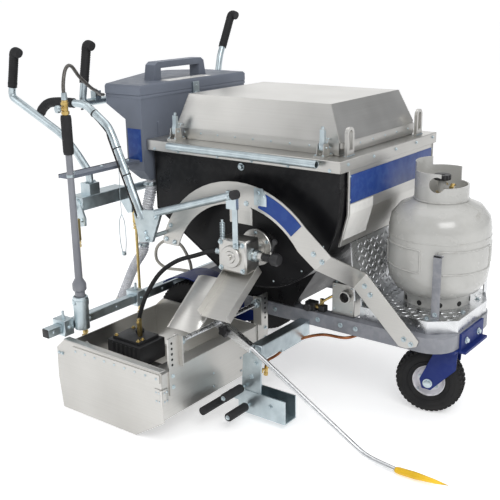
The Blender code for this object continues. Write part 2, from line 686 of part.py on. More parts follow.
def hopper():
    """The grey moulded bead hopper, its lid with a handle, the latch and the bracket."""
    x1 = -0.907
    plan = [(x1, -0.328), (-1.070, -0.328), (-1.225, 0.020), (-1.225, 0.150), (-1.110, 0.246), (x1, 0.234)]
    shoulder = [(x1, -0.328), (-1.070, -0.328), (-1.080, -0.200), (-1.080, 0.160), (-1.075, 0.232),
                (x1, 0.232)]
    neck = [(x1, -0.328), (-0.983, -0.328), (-0.985, -0.200), (-0.985, 0.060), (-0.980, 0.100), (x1, 0.100)]
    spout = [(-0.912, -0.295), (-0.958, -0.295), (-0.960, -0.275), (-0.960, -0.262), (-0.958, -0.242),
             (-0.912, -0.242)]

    def ring(points, z, inset=0.0):
        cx = sum(p[0] for p in points) / len(points)
        cy = sum(p[1] for p in points) / len(points)
        moved = []
        for x, y in points:
            reach = math.hypot(cx - x, cy - y)
            k = inset / reach
            moved.append((x + (cx - x) * k, y + (cy - y) * k, z))
        return moved
    levels = [(plan, 0.9670), (shoulder, 0.952), (shoulder, 0.933), (neck, 0.885), (neck, 0.715),
              (spout, 0.678)]
    body = loft("bead_hopper", [ring(p, z) for p, z in levels], "hopper_grey")
    inner = [(plan, 0.98), (plan, 0.966), (shoulder, 0.956), (shoulder, 0.935), (neck, 0.888),
             (neck, 0.722)]
    cut(body, loft("inside", [ring(p, z, 0.010) for p, z in inner], "hopper_grey"))
    lid_rings = [ring(plan, 0.9673, -0.003), ring(plan, 0.9930, -0.003), ring(plan, 1.0, 0.004)]
    cover = loft("hopper_lid", lid_rings, "hopper_grey", (-1.226, 0.0, 0.967))
    handle = [(-0.190, 0.998), (-0.180, 1.052), (-0.165, 1.062), (0.065, 1.062), (0.080, 1.052),
              (0.090, 0.998)]
    hold = prism("hold", handle, "YZ", -1.020, -0.975, "hopper_grey")
    cut(hold, box("gap", (-1.03, -0.150, 0.99), (-0.97, 0.052, 1.040), "hopper_grey"))
    union(cover, hold)
    box("hopper_latch", (-0.9033, -0.072, 0.9400), (-0.8960, -0.040, 0.9900), "zinc", 0.001,
        (-0.9000, -0.056, 0.942))


def bead_line():
    """The clear ribbed hoses and the metal cone that take beads from the hopper."""
    y = -0.268
    top = Vector((-0.936, y, 0.6777))
    cone_top = Vector((-0.966, y, 0.544))
    cone_low = Vector((-0.984, y, 0.448))
    low = Vector((-1.118, y, 0.205))
    along = (cone_low - cone_top).normalized()
    reach = (cone_low - cone_top).length
    top.z -= GAP
    end = cone_top - along * GAP
    route = smooth_path([top, top + Vector((0, 0, -0.03)), end - along * 0.03, end], 8)
    route = [top, top - Vector((0, 0, 0.004))] + route[1:-1] + [end - along * 0.004, end]
    sweep("bead_hose_upper", route, round_section(0.0205, 12), "clear_hose")
    turned("bead_cone", [(0.022, 0.0), (0.025, 0.010), (0.016, reach)], cone_top, along, "stainless", 20)
    start = cone_low + along * GAP
    route = smooth_path([start, start + along * 0.04, (-1.045, y, 0.335), low], 10)
    route = [start, start + along * 0.004] + route[1:]
    sweep("bead_hose_lower", route, round_section(0.0175, 12), "clear_hose")


# ---------------------------------------------------------------- handlebar and levers

def handlebar():
    """The handlebar, its two posts, the crossbar they stand on, and the two grips."""
    x = -1.130
    near_low, near_top = Vector((x, -0.368, 1.001)), Vector((x, -0.343, 1.128))
    far_low, far_top = Vector((x, 0.383, 1.074)), Vector((x, 0.447, 1.200))
    near_end = near_low + (near_low - near_top).normalized() * 0.022
    far_end = far_low + (far_low - far_top).normalized() * 0.035
    route = [near_low, near_end, (x, -0.381, 0.936), (x, 0.345, 0.936), (x, 0.354, 0.990), far_end, far_low]
    bar = tube("handlebar", route, TUBE_R, "zinc", 0.035)
    cross = rod("crossbar", (-1.000, -0.315, 0.640), (-1.000, 0.300, 0.640), 0.0140, "frame_grey", 16)
    for y in (-0.150, 0.150):
        post = [(x, y, 0.936), (x, y, 0.735), (-1.001, y, 0.645)]
        union(bar, tube("post", post, TUBE_R * 0.96, "zinc", 0.05, 10))
    union(bar, cross)
    for y in (-0.190, 0.190):
        union(bar, box("stay", (-0.998, y - 0.012, 0.628), (KETTLE_REAR - GAP, y + 0.012, 0.652),
                       "frame_grey"))
    union(bar, box("hose_block", (-1.142, -0.330, 0.940), (-1.118, -0.304, 0.972), "zinc"))
    grip("grip_right", near_top, near_low + (near_top - near_low) * 0.003)
    grip("grip_left", far_top, far_low + (far_top - far_low) * 0.003)


def lift_lever():
    """The die box lift lever: bent tube, grip, and the pivoting beam with its lifting arms."""
    y = -0.500
    pivot = BEAM_PIVOT
    grip_low, grip_top = Vector((-1.344, y, 0.990)), Vector((-1.316, y, 1.110))
    along = (grip_low - grip_top).normalized()
    route = [grip_low, grip_low + along * 0.022, (-1.345, y, 0.955), (-1.107, y, 0.848), (-1.049, y, 0.800),
             (-0.990, y, 0.735), (-0.990, y, 0.7004)]
    tube("lift_lever", route, TUBE_R, "zinc", 0.04, pivot=pivot)
    grip("lift_lever_grip", grip_top, grip_low, pivot=pivot)
    beam = box("lift_beam", (-1.028, -0.560, 0.618), (-0.966, -0.352, 0.662), "zinc", 0.002, pivot)
    union(beam, box("block", (-1.012, y - 0.022, 0.655), (-0.968, y + 0.022, 0.700), "zinc"))
    for low in (-0.5660, -0.352):
        arm = [(-1.010, 0.655), (-1.025, 0.630), (-0.975, 0.566), (-0.955, 0.570), (-0.953, 0.595),
               (-0.972, 0.640), (-0.985, 0.655)]
        ends = (low, low + 0.008)
        union(beam, prism("arm", arm, "XZ", *ends, "zinc"))


def lift_rods():
    """The two yellow-zinc rods that carry the die box, with clevises at their tops."""
    for side, y in (("right", -0.590), ("left", -0.325)):
        x = -0.965
        piece = rod(f"lift_rod_{side}", (x, y, 0.180), (x, y, 0.530), 0.0050, "yellow_zinc", 10)
        union(piece, box("clevis", (x - 0.009, y - 0.009, 0.525), (x + 0.009, y + 0.009, 0.600),
                         "yellow_zinc", 0.003))
        union(piece, box("foot", (x - 0.012, y - 0.010, 0.165), (BOX_REAR - GAP, y + 0.010, 0.200),
                         "yellow_zinc", 0.003))


def valve_lever():
    """The flow lever: grip, bent tube, gusset and the long forward tube."""
    y = -0.450
    pivot = VALVE_PIVOT
    grip_path = [(-1.268, y, 0.898), (-1.256, y, 0.916), (-1.220, y, 0.938), (-1.160, y, 0.9455),
                 (-1.0955, y, 0.946)]
    sweep("valve_lever_grip", grip_path, round_section(GRIP_R, 12), "rubber", pivot)
    route = [(-1.0935, y, 0.946), (-1.035, y, 0.944), (-0.938, y, 0.880), (-0.919, y, 0.847),
             (-0.850, y, 0.691), (-0.806, y, 0.590)]
    lever = tube("valve_lever", route, TUBE_R, "zinc", 0.03, pivot=pivot)
    gusset = [(-0.842, 0.607), (-0.800, 0.622), (-0.718, 0.632), (-0.765, 0.520), (-0.822, 0.512)]
    union(lever, prism("gusset", gusset, "XZ", y - 0.006, y + 0.006, "zinc"))
    union(lever, tube("arm", [(-0.745, y, 0.620), (-0.420, y, 0.7215)], 0.0118, "zinc"))
    union(lever, box("ear", (-0.462, y + 0.004, 0.672), (-0.424, y + 0.0165, 0.726), "zinc"))
    union(lever, rod("pin", (pivot.x, y, pivot.z), (pivot.x, -0.3660, pivot.z), 0.0070, "zinc", 12))


def valve():
    """The material valve on its neck, with the outlet channel, and the link that works it."""
    body = box("valve_body", (-0.520, -0.420, 0.462), (-0.412, -0.348, 0.568), "stainless", 0.006)
    union(body, rod("neck", (-0.462, -0.355, 0.515), (-0.462, -0.2903, 0.515), 0.036, "stainless", 20))
    union(body, rod("port", (-0.420, -0.385, 0.520), (-0.372, -0.385, 0.520), 0.014, "stainless", 12))
    union(body, channel("channel", -0.500, -0.385, (-0.375, 0.4680), (-0.535, 0.350), 0.030,
                        "stainless"))
    box("valve_link", (-0.4530, -0.4310, 0.545), (-0.4330, -0.4250, 0.706), "zinc", 0.001)


def channel(name, x0, x1, start, end, depth, finish_name, pivot=(0, 0, 0)):
    """An open channel that slopes in the YZ plane from start to end."""
    start = Vector((0, *start))
    end = Vector((0, *end))
    along = (end - start).normalized()
    normal = Vector((0, -along.z, along.y))
    if normal.z < 0:
        normal = -normal
    wall = 0.002
    section = [(x0, 0), (x1, 0), (x1, depth), (x1 - wall, depth), (x1 - wall, wall), (x0 + wall, wall),
               (x0 + wall, depth), (x0, depth)]
    rings = [[Vector((x, 0, 0)) + point + normal * h for x, h in section] for point in (start, end)]
    return loft(name, rings, finish_name, pivot)


def chute():
    """The bright scoop beside the valve's outlet."""
    channel("chute_scoop", -0.622, -0.5035, (-0.395, 0.415), (-0.555, 0.290), 0.028, "stainless",
            (-0.560, -0.395, 0.415))


# ---------------------------------------------------------------- die box

def die_box():
    """The screed box that lays the line: its walls, liner, die and block."""
    end = [(-0.905, BOX_TOP), (-0.488, BOX_TOP - 0.006), (-0.486, 0.077), (-0.604, 0.003),
           (-0.931, 0.003), (-0.943, 0.110), (-0.940, BOX_REAR_TOP)]
    walls = prism("die_box", end, "XZ", BOX_NEAR, BOX_NEAR + SHEET, "stainless")
    union(walls, prism("far_end", end, "XZ", BOX_FAR - SHEET, BOX_FAR, "stainless"))
    y0, y1 = BOX_NEAR + SHEET / 2, BOX_FAR - SHEET / 2
    union(walls, box("rear", (BOX_REAR + 0.0005, y0, 0.090), (BOX_REAR + SHEET, y1, BOX_REAR_TOP - 0.001),
                     "stainless"))
    union(walls, box("front", (BOX_FRONT - SHEET, y0, 0.085), (BOX_FRONT - 0.0005, y1, 0.232), "stainless"))
    strip = box("strip", (-0.862, BOX_NEAR - 0.004, 0.205), (-0.492, BOX_NEAR + 0.001, 0.232), "stainless")
    union(walls, strip)
    x = BAR_AT.x
    for y0, y1, arm in ((-0.705, -0.655, -0.659), (-0.270, -0.215, -0.270)):
        union(walls, box("bracket", (BOX_FRONT - 0.001, y0, 0.155), (BOX_FRONT + SHEET, y1, 0.335),
                         "stainless"))
        union(walls, box("flange", (BOX_FRONT - 0.014, arm, 0.237), (x + 0.016, arm + SHEET, 0.334),
                         "stainless"))
    y0, y1 = BOX_NEAR + SHEET + GAP, BOX_FAR - SHEET - GAP
    liner = [(-0.4925, 0.228), (-0.4925, 0.222), (-0.680, 0.128), (-0.688, 0.130), (-0.688, 0.136)]
    prism("die_liner", liner, "XZ", y0, y1, "stainless")
    screed = box("screed_die", (-0.900, -0.640, 0.006), (-0.700, -0.365, 0.1200), "stainless")
    cut(screed, box("slot", (-0.890, -0.630, -0.02), (-0.710, -0.375, 0.20), "stainless"))
    union(screed, box("bridge", (-0.895, -0.520, 0.080), (-0.705, -0.480, 0.112), "stainless"))
    block = box("die_block", (-0.895, -0.560, 0.1203), (-0.745, -0.440, 0.2150), "black_plastic", 0.004)
    union(block, box("link", (-0.806, -0.506, 0.205), (-0.794, -0.494, 0.262), "yellow_zinc"))


def width_bar():
    """The graduated bar over the die box, and the guide pointer clamped to it."""
    x, y, z = BAR_AT
    rod("width_bar", (x, -0.6547, z), (x, -0.2703, z), 0.0075, "aluminium", 16)
    arm = [(x - 0.013, z - 0.012), (x + 0.008, z - 0.018), (x + 0.124, z - 0.070), (x + 0.130, z - 0.046),
           (x + 0.012, z + 0.012), (x - 0.013, z + 0.012)]
    clamp = prism("pointer_arm", arm, "XZ", y - 0.011, y + 0.011, "zinc", BAR_AT)
    cut(clamp, rod("bore", (x, y - 0.03, z), (x, y + 0.03, z), 0.0079, "zinc", 16))
    root = Vector((x + 0.118, y, z - 0.0525))
    knee = Vector((0.042, y, 0.024))
    tip = Vector((0.136, y, 0.0125))
    union(clamp, tube("shaft", [root, knee, tip], 0.0075, "aluminium", 0.03, 10))
    point = [(0.0085, 0.0), (0.0100, 0.012), (0.0105, 0.060), (0.0060, 0.120), (0.0, 0.160)]
    ahead = (Vector((0.296, y, 0.020)) - tip).normalized()
    turned("pointer_tip", point, tip + ahead * 0.0024, ahead, "yellow_plastic", 12, pivot=BAR_AT)
    knob(BAR_AT + Vector((0.034, -0.0113, -0.016)), (0, -1, 0), "pointer_knob", 0.020, 5)


def knob(at, axis, name, radius, lobes):
    """A star knob with rounded lobes."""
    at = Vector(at)
    axis = Vector(axis)
    outline = []
    steps = lobes * 6
    for i in range(steps):
        angle = 2 * math.pi * i / steps
        reach = radius * (0.84 + 0.16 * math.cos(lobes * angle))
        outline.append((reach * math.cos(angle), reach * math.sin(angle)))
    spin = Vector((0, 0, 1)).rotation_difference(axis).to_matrix()
    bm = bmesh.new()
    loops = []
    for height, scale in ((0.0, 0.9), (0.003, 1.0), (0.012, 1.0), (0.015, 0.85)):
        loops.append([bm.verts.new(at + spin @ Vector((u * scale, v * scale, height))) for u, v in outline])
    for a, b in zip(loops, loops[1:]):
        for i in range(steps):
            j = (i + 1) % steps
            bm.faces.new((a[i], a[j], b[j], b[i]))
    bm.faces.new(loops[0])
    bm.faces.new(loops[-1])
    return finish(name, bm, "black_plastic", at)


# ---------------------------------------------------------------- toolbar, torch and hoses

def toolbar():
    """The square tube across the rear, its two clamp blocks and the torch holder."""
    x0, x1, z0, z1 = -0.955, -0.925, 0.255, 0.285
    box("toolbar", (x0, -0.775, z0), (x1, 0.165, z1), "zinc", 0.002)
    for where, y in (("outer", -0.700), ("inner", -0.370)):
        block = box(f"toolbar_clamp_{where}", (x0 - 0.014, y - 0.020, z0 - 0.010),
                    (x1 + 0.012, y + 0.020, z1 + 0.014), "zinc", 0.002)
        cut(block, box("through", (x0 - GAP, y - 0.05, z0 - GAP), (x1 + GAP, y + 0.05, z1 + GAP), "zinc"))
    at = Vector((-0.9000, -0.657, 0.0))
    cup = [(0.0, 0.2600), (0.0245, 0.2600), (0.0245, 0.368), (0.0195, 0.370), (0.0195, 0.2700),
           (0.0, 0.2700)]
    turned("torch_holder", cup, at, (0, 0, 1), "zinc", 20)


def torch():
    """The hand torch that stands in the holder."""
    at = Vector((-0.9000, -0.657, 0.0))
    bell = [(0.0, 0.2703), (0.0165, 0.2703), (0.0165, 0.385), (0.0225, 0.392), (0.0225, 0.412),
            (0.0125, 0.430), (0.0105, 0.760), (0.0105, 0.8257), (0.0, 0.8257)]
    turned("torch_pole", bell, at, (0, 0, 1), "frame_grey", 16)
    handle = [(0.0, 0.8260), (0.0150, 0.8260), (0.0165, 0.835), (0.0165, 0.935), (0.0150, 0.945),
              (0.0, 0.945)]
    turned("torch_grip", handle, at, (0, 0, 1), "rubber", 16)
    body = rod("torch_valve", at + Vector((0, 0, 0.9453)), at + Vector((0, 0, 0.990)), 0.0095, "brass", 12)
    union(body, rod("side", at + Vector((0, 0, 0.965)), at + Vector((-0.004, -0.018, 0.965)), 0.006,
                    "brass", 10))
    start = at + Vector((-0.004, -0.0183, 0.965))
    turned("torch_knob", [(0.0, 0.0), (0.011, 0.0), (0.012, 0.004), (0.011, 0.012), (0.0, 0.012)], start,
           Vector((-0.2, -1.0, 0)).normalized(), "zinc", 12, pivot=start)


TORCH_HOSE = [(-0.900, -0.657, 0.9905), (-0.900, -0.657, 1.035), (-0.905, -0.640, 1.078),
              (-0.925, -0.600, 1.085), (-0.950, -0.545, 1.045), (-0.985, -0.470, 1.004),
              (-1.025, -0.410, 0.985), (-1.068, -0.358, 0.968), (-1.092, -0.318, 0.960),
              (-1.1177, -0.318, 0.960)]
DIE_HOSE = [(-0.5203, -0.385, 0.510), (-0.545, -0.385, 0.510), (-0.580, -0.386, 0.503),
            (-0.640, -0.390, 0.480), (-0.710, -0.405, 0.452), (-0.765, -0.430, 0.405),
            (-0.805, -0.455, 0.330), (-0.825, -0.470, 0.262), (-0.828, -0.472, 0.235),
            (-0.828, -0.472, 0.2154)]


def hoses():
    """The torch's braided hose and the black hose to the die block."""
    sweep("torch_hose", cord_path(TORCH_HOSE, 34), round_section(0.0055, 8), "grey_hose")
    sweep("die_hose", cord_path(DIE_HOSE, 30), round_section(0.0075, 8), "rubber")


def tool_tray():
    """The dark tool rest that steadies the torch pole, hung from the hopper's side."""
    union(bpy.data.objects["bead_hopper"],
          box("tray", (-0.975, -0.640, 0.742), (-0.925, -0.322, 0.752), "hopper_grey"))


def build():
    clear_scene()
    frame()
    outrigger()
    rear_axle_and_wheels()
    caster()
    deck()
    tank()
    burner()
    kettle()
    mixer()
    lid()
    rim()
    toggle_clamp("front", CLAMP_X[0])
    toggle_clamp("rear", CLAMP_X[1])
    side_rail()
    side_arch()
    hopper()
    bead_line()
    handlebar()
    lift_lever()
    lift_rods()
    valve_lever()
    valve()
    chute()
    die_box()
    width_bar()
    toolbar()
    torch()
    hoses()
    tool_tray()


build()
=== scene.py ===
"""How the line striping machine looks: its finishes, fasteners, hoses and fittings."""
import json
import math

import bmesh
import bpy
from mathutils import Matrix, Vector


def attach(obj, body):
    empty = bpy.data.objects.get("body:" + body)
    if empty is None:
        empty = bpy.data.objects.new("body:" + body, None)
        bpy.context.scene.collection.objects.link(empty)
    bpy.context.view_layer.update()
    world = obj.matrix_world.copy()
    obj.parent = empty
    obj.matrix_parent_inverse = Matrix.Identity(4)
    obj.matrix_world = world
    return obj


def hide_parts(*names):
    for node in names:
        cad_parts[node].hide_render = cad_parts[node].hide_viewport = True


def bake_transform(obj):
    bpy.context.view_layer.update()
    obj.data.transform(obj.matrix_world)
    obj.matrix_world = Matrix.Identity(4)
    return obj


# Points below are in the machine's own coordinates: X = 0 at the gas cylinder's axis, Y = 0 on
# the frame's centre line, Z = 0 on the ground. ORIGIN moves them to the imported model's frame.
ORIGIN = Vector((0.5306, 0.1558, 0.0))
CHASSIS = "chassis"

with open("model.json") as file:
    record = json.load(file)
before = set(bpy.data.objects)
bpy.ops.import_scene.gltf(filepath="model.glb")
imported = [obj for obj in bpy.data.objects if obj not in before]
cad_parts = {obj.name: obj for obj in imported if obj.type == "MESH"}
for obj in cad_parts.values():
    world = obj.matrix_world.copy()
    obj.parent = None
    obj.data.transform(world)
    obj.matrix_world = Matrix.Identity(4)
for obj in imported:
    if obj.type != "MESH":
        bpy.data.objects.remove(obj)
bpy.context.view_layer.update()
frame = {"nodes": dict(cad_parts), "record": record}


# ---------------------------------------------------------------- materials

class Finish:
    """A procedural material around one Principled shader."""

    def __init__(self, name, colour, rough, metal=0.0):
        self.mat = bpy.data.materials.new(name)
        self.mat.use_nodes = True
        self.tree = self.mat.node_tree
        self.shader = self.tree.nodes["Principled BSDF"]
        self.set("Base Color", (*colour, 1.0))
        self.set("Roughness", rough)
        self.set("Metallic", metal)
        self.where = self.tree.nodes.new("ShaderNodeTexCoord").outputs["Object"]

    def set(self, socket, value):
        self.shader.inputs[socket].default_value = value

    def join(self, output, node, socket):
        self.tree.links.new(output, node.inputs[socket])

    def noise(self, scale, detail=3.0, stretch=(1.0, 1.0, 1.0)):
        place = self.tree.nodes.new("ShaderNodeMapping")
        place.inputs["Scale"].default_value = stretch
        self.join(self.where, place, "Vector")
        node = self.tree.nodes.new("ShaderNodeTexNoise")
        node.inputs["Scale"].default_value = scale
        node.inputs["Detail"].default_value = detail
        self.join(place.outputs["Vector"], node, "Vector")
        return node.outputs["Fac"]

    def cells(self, scale):
        node = self.tree.nodes.new("ShaderNodeTexVoronoi")
        node.inputs["Scale"].default_value = scale
        self.join(self.where, node, "Vector")
        return node

    def ramp(self, value, *stops):
        node = self.tree.nodes.new("ShaderNodeValToRGB")
        band = node.color_ramp
        while len(band.elements) < len(stops):
            band.elements.new(0.5)
        for element, (place, shade) in zip(band.elements, stops):
            element.position = place
            colour = shade if isinstance(shade, tuple) else (shade, shade, shade)
            element.color = (*colour, 1.0)
        self.join(value, node, "Fac")
        return node.outputs["Color"]

    def span(self, value, low, high, start=0.3, end=0.7):
        node = self.tree.nodes.new("ShaderNodeMapRange")
        node.inputs["From Min"].default_value = start
        node.inputs["From Max"].default_value = end
        node.inputs["To Min"].default_value = low
        node.inputs["To Max"].default_value = high
        self.join(value, node, "Value")
        return node.outputs["Result"]

    def mix(self, amount, first, second, mode="MIX"):
        node = self.tree.nodes.new("ShaderNodeMix")
        node.data_type = "RGBA"
        node.blend_type = mode
        if isinstance(amount, float):
            node.inputs[0].default_value = amount
        else:
            self.tree.links.new(amount, node.inputs[0])
        for slot, value in ((6, first), (7, second)):
            if isinstance(value, tuple):
                node.inputs[slot].default_value = (*value, 1.0)
            else:
                self.tree.links.new(value, node.inputs[slot])
        return node.outputs[2]

    def edges(self, start=0.53, end=0.60):
        """How far each point lies on an outer edge, for wear."""
        node = self.tree.nodes.new("ShaderNodeNewGeometry")
        return self.span(node.outputs["Pointiness"], 0.0, 1.0, start, end)

    def colour(self, output):
        self.join(output, self.shader, "Base Color")

    def rough(self, output):
        self.join(output, self.shader, "Roughness")

    def bump(self, *layers):
        """Stack height layers of (output, strength, distance)."""
        last = None
        for output, strength, distance in layers:
            node = self.tree.nodes.new("ShaderNodeBump")
            node.inputs["Strength"].default_value = strength
            node.inputs["Distance"].default_value = distance
            self.join(output, node, "Height")
            if last is not None:
                self.join(last, node, "Normal")
            last = node.outputs["Normal"]
        self.join(last, self.shader, "Normal")


def metal_finish(name, dark, light, rough, grain, blotch=7.0):
    """Bare or plated metal: grain along the sheet, cloudy colour, and uneven polish."""
    f = Finish(name, light, sum(rough) / 2, 1.0)
    cloud = f.noise(blotch, 4.0)
    streak = f.noise(1.0, 5.0, grain)
    tone = f.ramp(cloud, (0.30, dark), (0.70, light))
    f.colour(f.mix(0.22, tone, f.ramp(streak, (0.35, 0.25), (0.65, 0.95)), "SOFT_LIGHT"))
    f.rough(f.span(streak, rough[0], rough[1], 0.25, 0.75))
    f.bump((streak, 0.04, 0.0004), (cloud, 0.04, 0.002))
    return f.mat


def paint_finish(name, colour, rough, wear, coat=0.3, peel=0.06, dust=0.05, shine=0.5):
    """Sprayed paint: orange peel, faint dust and lighter worn edges."""
    f = Finish(name, colour, rough)
    f.set("Specular IOR Level", shine)
    f.set("Coat Weight", coat)
    f.set("Coat Roughness", 0.15)
    lift = tuple(min(1.0, c * 1.25 + dust) for c in colour)
    tone = f.ramp(f.noise(5.0, 5.0), (0.40, colour), (0.78, lift))
    scuff = f.noise(45.0, 4.0)
    edge = f.mix(f.edges(), (0.0, 0.0, 0.0), f.ramp(scuff, (0.45, 0.0), (0.60, 0.7)))
    f.colour(f.mix(edge, tone, wear))
    f.rough(f.span(f.noise(14.0, 4.0), rough * 0.8, min(1.0, rough * 1.35)))
    f.bump((f.noise(420.0, 2.0), peel, 0.0004), (f.noise(6.0, 2.0), 0.05, 0.002))
    return f.mat


def plastic_finish(name, colour, rough, grain=900.0, relief=0.12, light=1.5):
    """Moulded plastic or rubber: fine grain, handling marks and paler edges."""
    f = Finish(name, colour, rough)
    f.set("Specular IOR Level", 0.28)
    lift = tuple(min(1.0, c * light + 0.004) for c in colour)
    tone = f.ramp(f.noise(9.0, 5.0), (0.35, colour), (0.80, lift))
    f.colour(f.mix(f.edges(0.52, 0.62), tone, tuple(min(1.0, c * 1.7 + 0.02) for c in colour)))
    f.rough(f.span(f.noise(30.0, 4.0), rough * 0.85, min(1.0, rough * 1.2)))
    f.bump((f.noise(grain, 2.0), relief, 0.0005), (f.noise(12.0, 2.0), 0.05, 0.002))
    return f.mat


def stainless():
    f = Finish("stainless_sheet", (0.62, 0.60, 0.56), 0.3, 1.0)
    along = f.noise(1.0, 2.0, (3.0, 3.0, 260.0))
    cloud = f.noise(4.0, 5.0)
    prints = f.noise(16.0, 3.0)
    tone = f.ramp(cloud, (0.30, (0.49, 0.481, 0.457)), (0.70, (0.61, 0.601, 0.576)))
    f.colour(f.mix(0.25, tone, f.ramp(along, (0.30, 0.40), (0.70, 0.65)), "SOFT_LIGHT"))
    blend = f.mix(0.5, f.ramp(along, (0.3, 0.33), (0.7, 0.42)), f.ramp(prints, (0.4, 0.30), (0.7, 0.42)))
    f.rough(blend)
    f.bump((along, 0.012, 0.0003), (f.noise(2.6, 1.0), 0.12, 0.006))
    return f.mat


def tread():
    f = Finish("tread_plate", (0.72, 0.73, 0.74), 0.28, 1.0)
    cloud = f.noise(22.0, 5.0)
    f.colour(f.ramp(cloud, (0.30, (0.56, 0.57, 0.58)), (0.72, (0.80, 0.81, 0.82))))
    f.rough(f.span(cloud, 0.18, 0.42))
    f.bump((f.noise(160.0, 3.0), 0.10, 0.0006))
    return f.mat


def braid():
    f = Finish("braided_hose", (0.20, 0.19, 0.175), 0.45, 0.65)
    knit = f.cells(520.0)
    f.colour(f.ramp(knit.outputs["Distance"], (0.0, (0.34, 0.32, 0.29)), (0.6, (0.07, 0.065, 0.06))))
    f.rough(f.span(f.noise(60.0), 0.35, 0.6))
    f.bump((knit.outputs["Distance"], -0.6, 0.0012))
    return f.mat


def clear_vinyl():
    f = Finish("clear_hose", (0.66, 0.67, 0.72), 0.18)
    f.set("Transmission Weight", 0.25)
    f.set("Coat Weight", 0.5)
    cloud = f.noise(30.0, 4.0)
    f.colour(f.ramp(cloud, (0.35, (0.60, 0.61, 0.66)), (0.75, (0.80, 0.81, 0.84))))
    f.rough(f.span(cloud, 0.14, 0.32))
    f.bump((f.noise(70.0, 2.0), 0.10, 0.001))
    return f.mat


def tyre_rubber():
    f = Finish("tyre_rubber", (0.016, 0.016, 0.017), 0.78)
    f.set("Specular IOR Level", 0.25)
    dust = f.noise(11.0, 6.0)
    f.colour(f.ramp(dust, (0.35, (0.009, 0.009, 0.010)), (0.80, (0.030, 0.029, 0.028))))
    f.rough(f.span(dust, 0.62, 0.90))
    f.bump((f.noise(500.0, 3.0), 0.25, 0.0008))
    return f.mat


MAT = {
    "stainless": stainless(),
    "zinc": metal_finish("zinc_plate", (0.43, 0.50, 0.53), (0.58, 0.66, 0.69), (0.30, 0.42),
                         (40.0, 40.0, 40.0), blotch=18.0),
    "yellow_zinc": metal_finish("yellow_zinc", (0.42, 0.30, 0.10), (0.66, 0.52, 0.24), (0.26, 0.42),
                                (60.0, 60.0, 30.0), blotch=40.0),
    "brass": metal_finish("brass", (0.48, 0.32, 0.10), (0.74, 0.55, 0.22), (0.20, 0.36),
                          (80.0, 80.0, 80.0), blotch=35.0),
    "aluminium": metal_finish("aluminium", (0.58, 0.59, 0.60), (0.80, 0.81, 0.82), (0.20, 0.36),
                              (20.0, 260.0, 260.0)),
    "tread_plate": tread(),
    "frame_grey": paint_finish("frame_paint", (0.175, 0.182, 0.205), 0.38, (0.34, 0.34, 0.35)),
    "kettle_black": paint_finish("kettle_paint", (0.0045, 0.0045, 0.0055), 0.30, (0.03, 0.03, 0.03),
                                 0.04, 0.02, 0.002, 0.18),
    "caster_blue": paint_finish("fork_paint", (0.006, 0.018, 0.125), 0.46, (0.04, 0.06, 0.18), 0.03,
                                0.04, 0.004, 0.22),
    "tank_white": paint_finish("cylinder_paint", (0.415, 0.412, 0.392), 0.24, (0.36, 0.35, 0.32), 0.4,
                               0.03, 0.012),
    "rim_white": paint_finish("rim_paint", (0.60, 0.59, 0.62), 0.35, (0.45, 0.45, 0.45)),
    "hopper_grey": plastic_finish("hopper_plastic", (0.118, 0.133, 0.165), 0.46, 1300.0, 0.22, 1.25),
    "rubber": plastic_finish("grip_rubber", (0.010, 0.010, 0.011), 0.62, 700.0, 0.35),
    "tyre": tyre_rubber(),
    "black_plastic": plastic_finish("black_plastic", (0.012, 0.012, 0.013), 0.38, 1000.0, 0.10),
    "clear_hose": clear_vinyl(),
    "grey_hose": braid(),
    "yellow_plastic": plastic_finish("yellow_tip", (0.60, 0.36, 0.012), 0.36, 800.0, 0.10, 1.10),
}
EXTRA = {
    "label_blue": paint_finish("label_blue", (0.009, 0.040, 0.200), 0.36, (0.04, 0.10, 0.28), 0.10, 0.02,
                               0.004, 0.25),
    "label_pale": paint_finish("label_pale", (0.72, 0.71, 0.68), 0.42, (0.60, 0.60, 0.58), 0.2, 0.02,
                               0.01),
    "copper": metal_finish("copper_hose", (0.22, 0.075, 0.030), (0.40, 0.16, 0.07), (0.30, 0.50),
                           (60.0, 60.0, 60.0), blotch=30.0),
    # Near-black flat finish for thin discs, rings and plates: painted shade in place of the dark inside of
    # holes, slots and grooves.
    "dark_hole": plastic_finish("painted_shade_black", (0.004, 0.004, 0.004), 0.85, 400.0, 0.10),
    "pipe_beige": plastic_finish("pipe_beige", (0.36, 0.34, 0.30), 0.42, 600.0, 0.10, 1.2),
}


# ---------------------------------------------------------------- shapes

def round_path(points, steps=8):
    """A smooth line through the points (centripetal spline)."""
    pts = [Vector(p) for p in points]
    pts = [pts[0] * 2 - pts[1]] + pts + [pts[-1] * 2 - pts[-2]]
    line = []
    for a, b, c, d in zip(pts, pts[1:], pts[2:], pts[3:]):
        for i in range(steps):
            t = i / steps
            line.append(0.5 * ((2 * b) + (c - a) * t + (2 * a - 5 * b + 4 * c - d) * t * t
                               + (3 * b - a - 3 * c + d) * t ** 3))
    line.append(pts[-2])
    return line


def even_path(points, count):
    """The same line with evenly spaced points."""
    reach = [0.0]
    for a, b in zip(points, points[1:]):
        reach.append(reach[-1] + (b - a).length)
    line = []
    k = 0
    for i in range(count):
        want = reach[-1] * i / (count - 1)
        while k < len(reach) - 2 and reach[k + 1] < want:
            k += 1
        t = (want - reach[k]) / max(reach[k + 1] - reach[k], 1e-9)
        line.append(points[k].lerp(points[k + 1], t))
    return line


def arc(cx, cy, radius, start, end, steps):
    """Points on an arc, angles in degrees."""
    line = []
    for i in range(steps + 1):
        angle = math.radians(start + (end - start) * i / steps)
        line.append((cx + radius * math.cos(angle), cy + radius * math.sin(angle)))
    return line


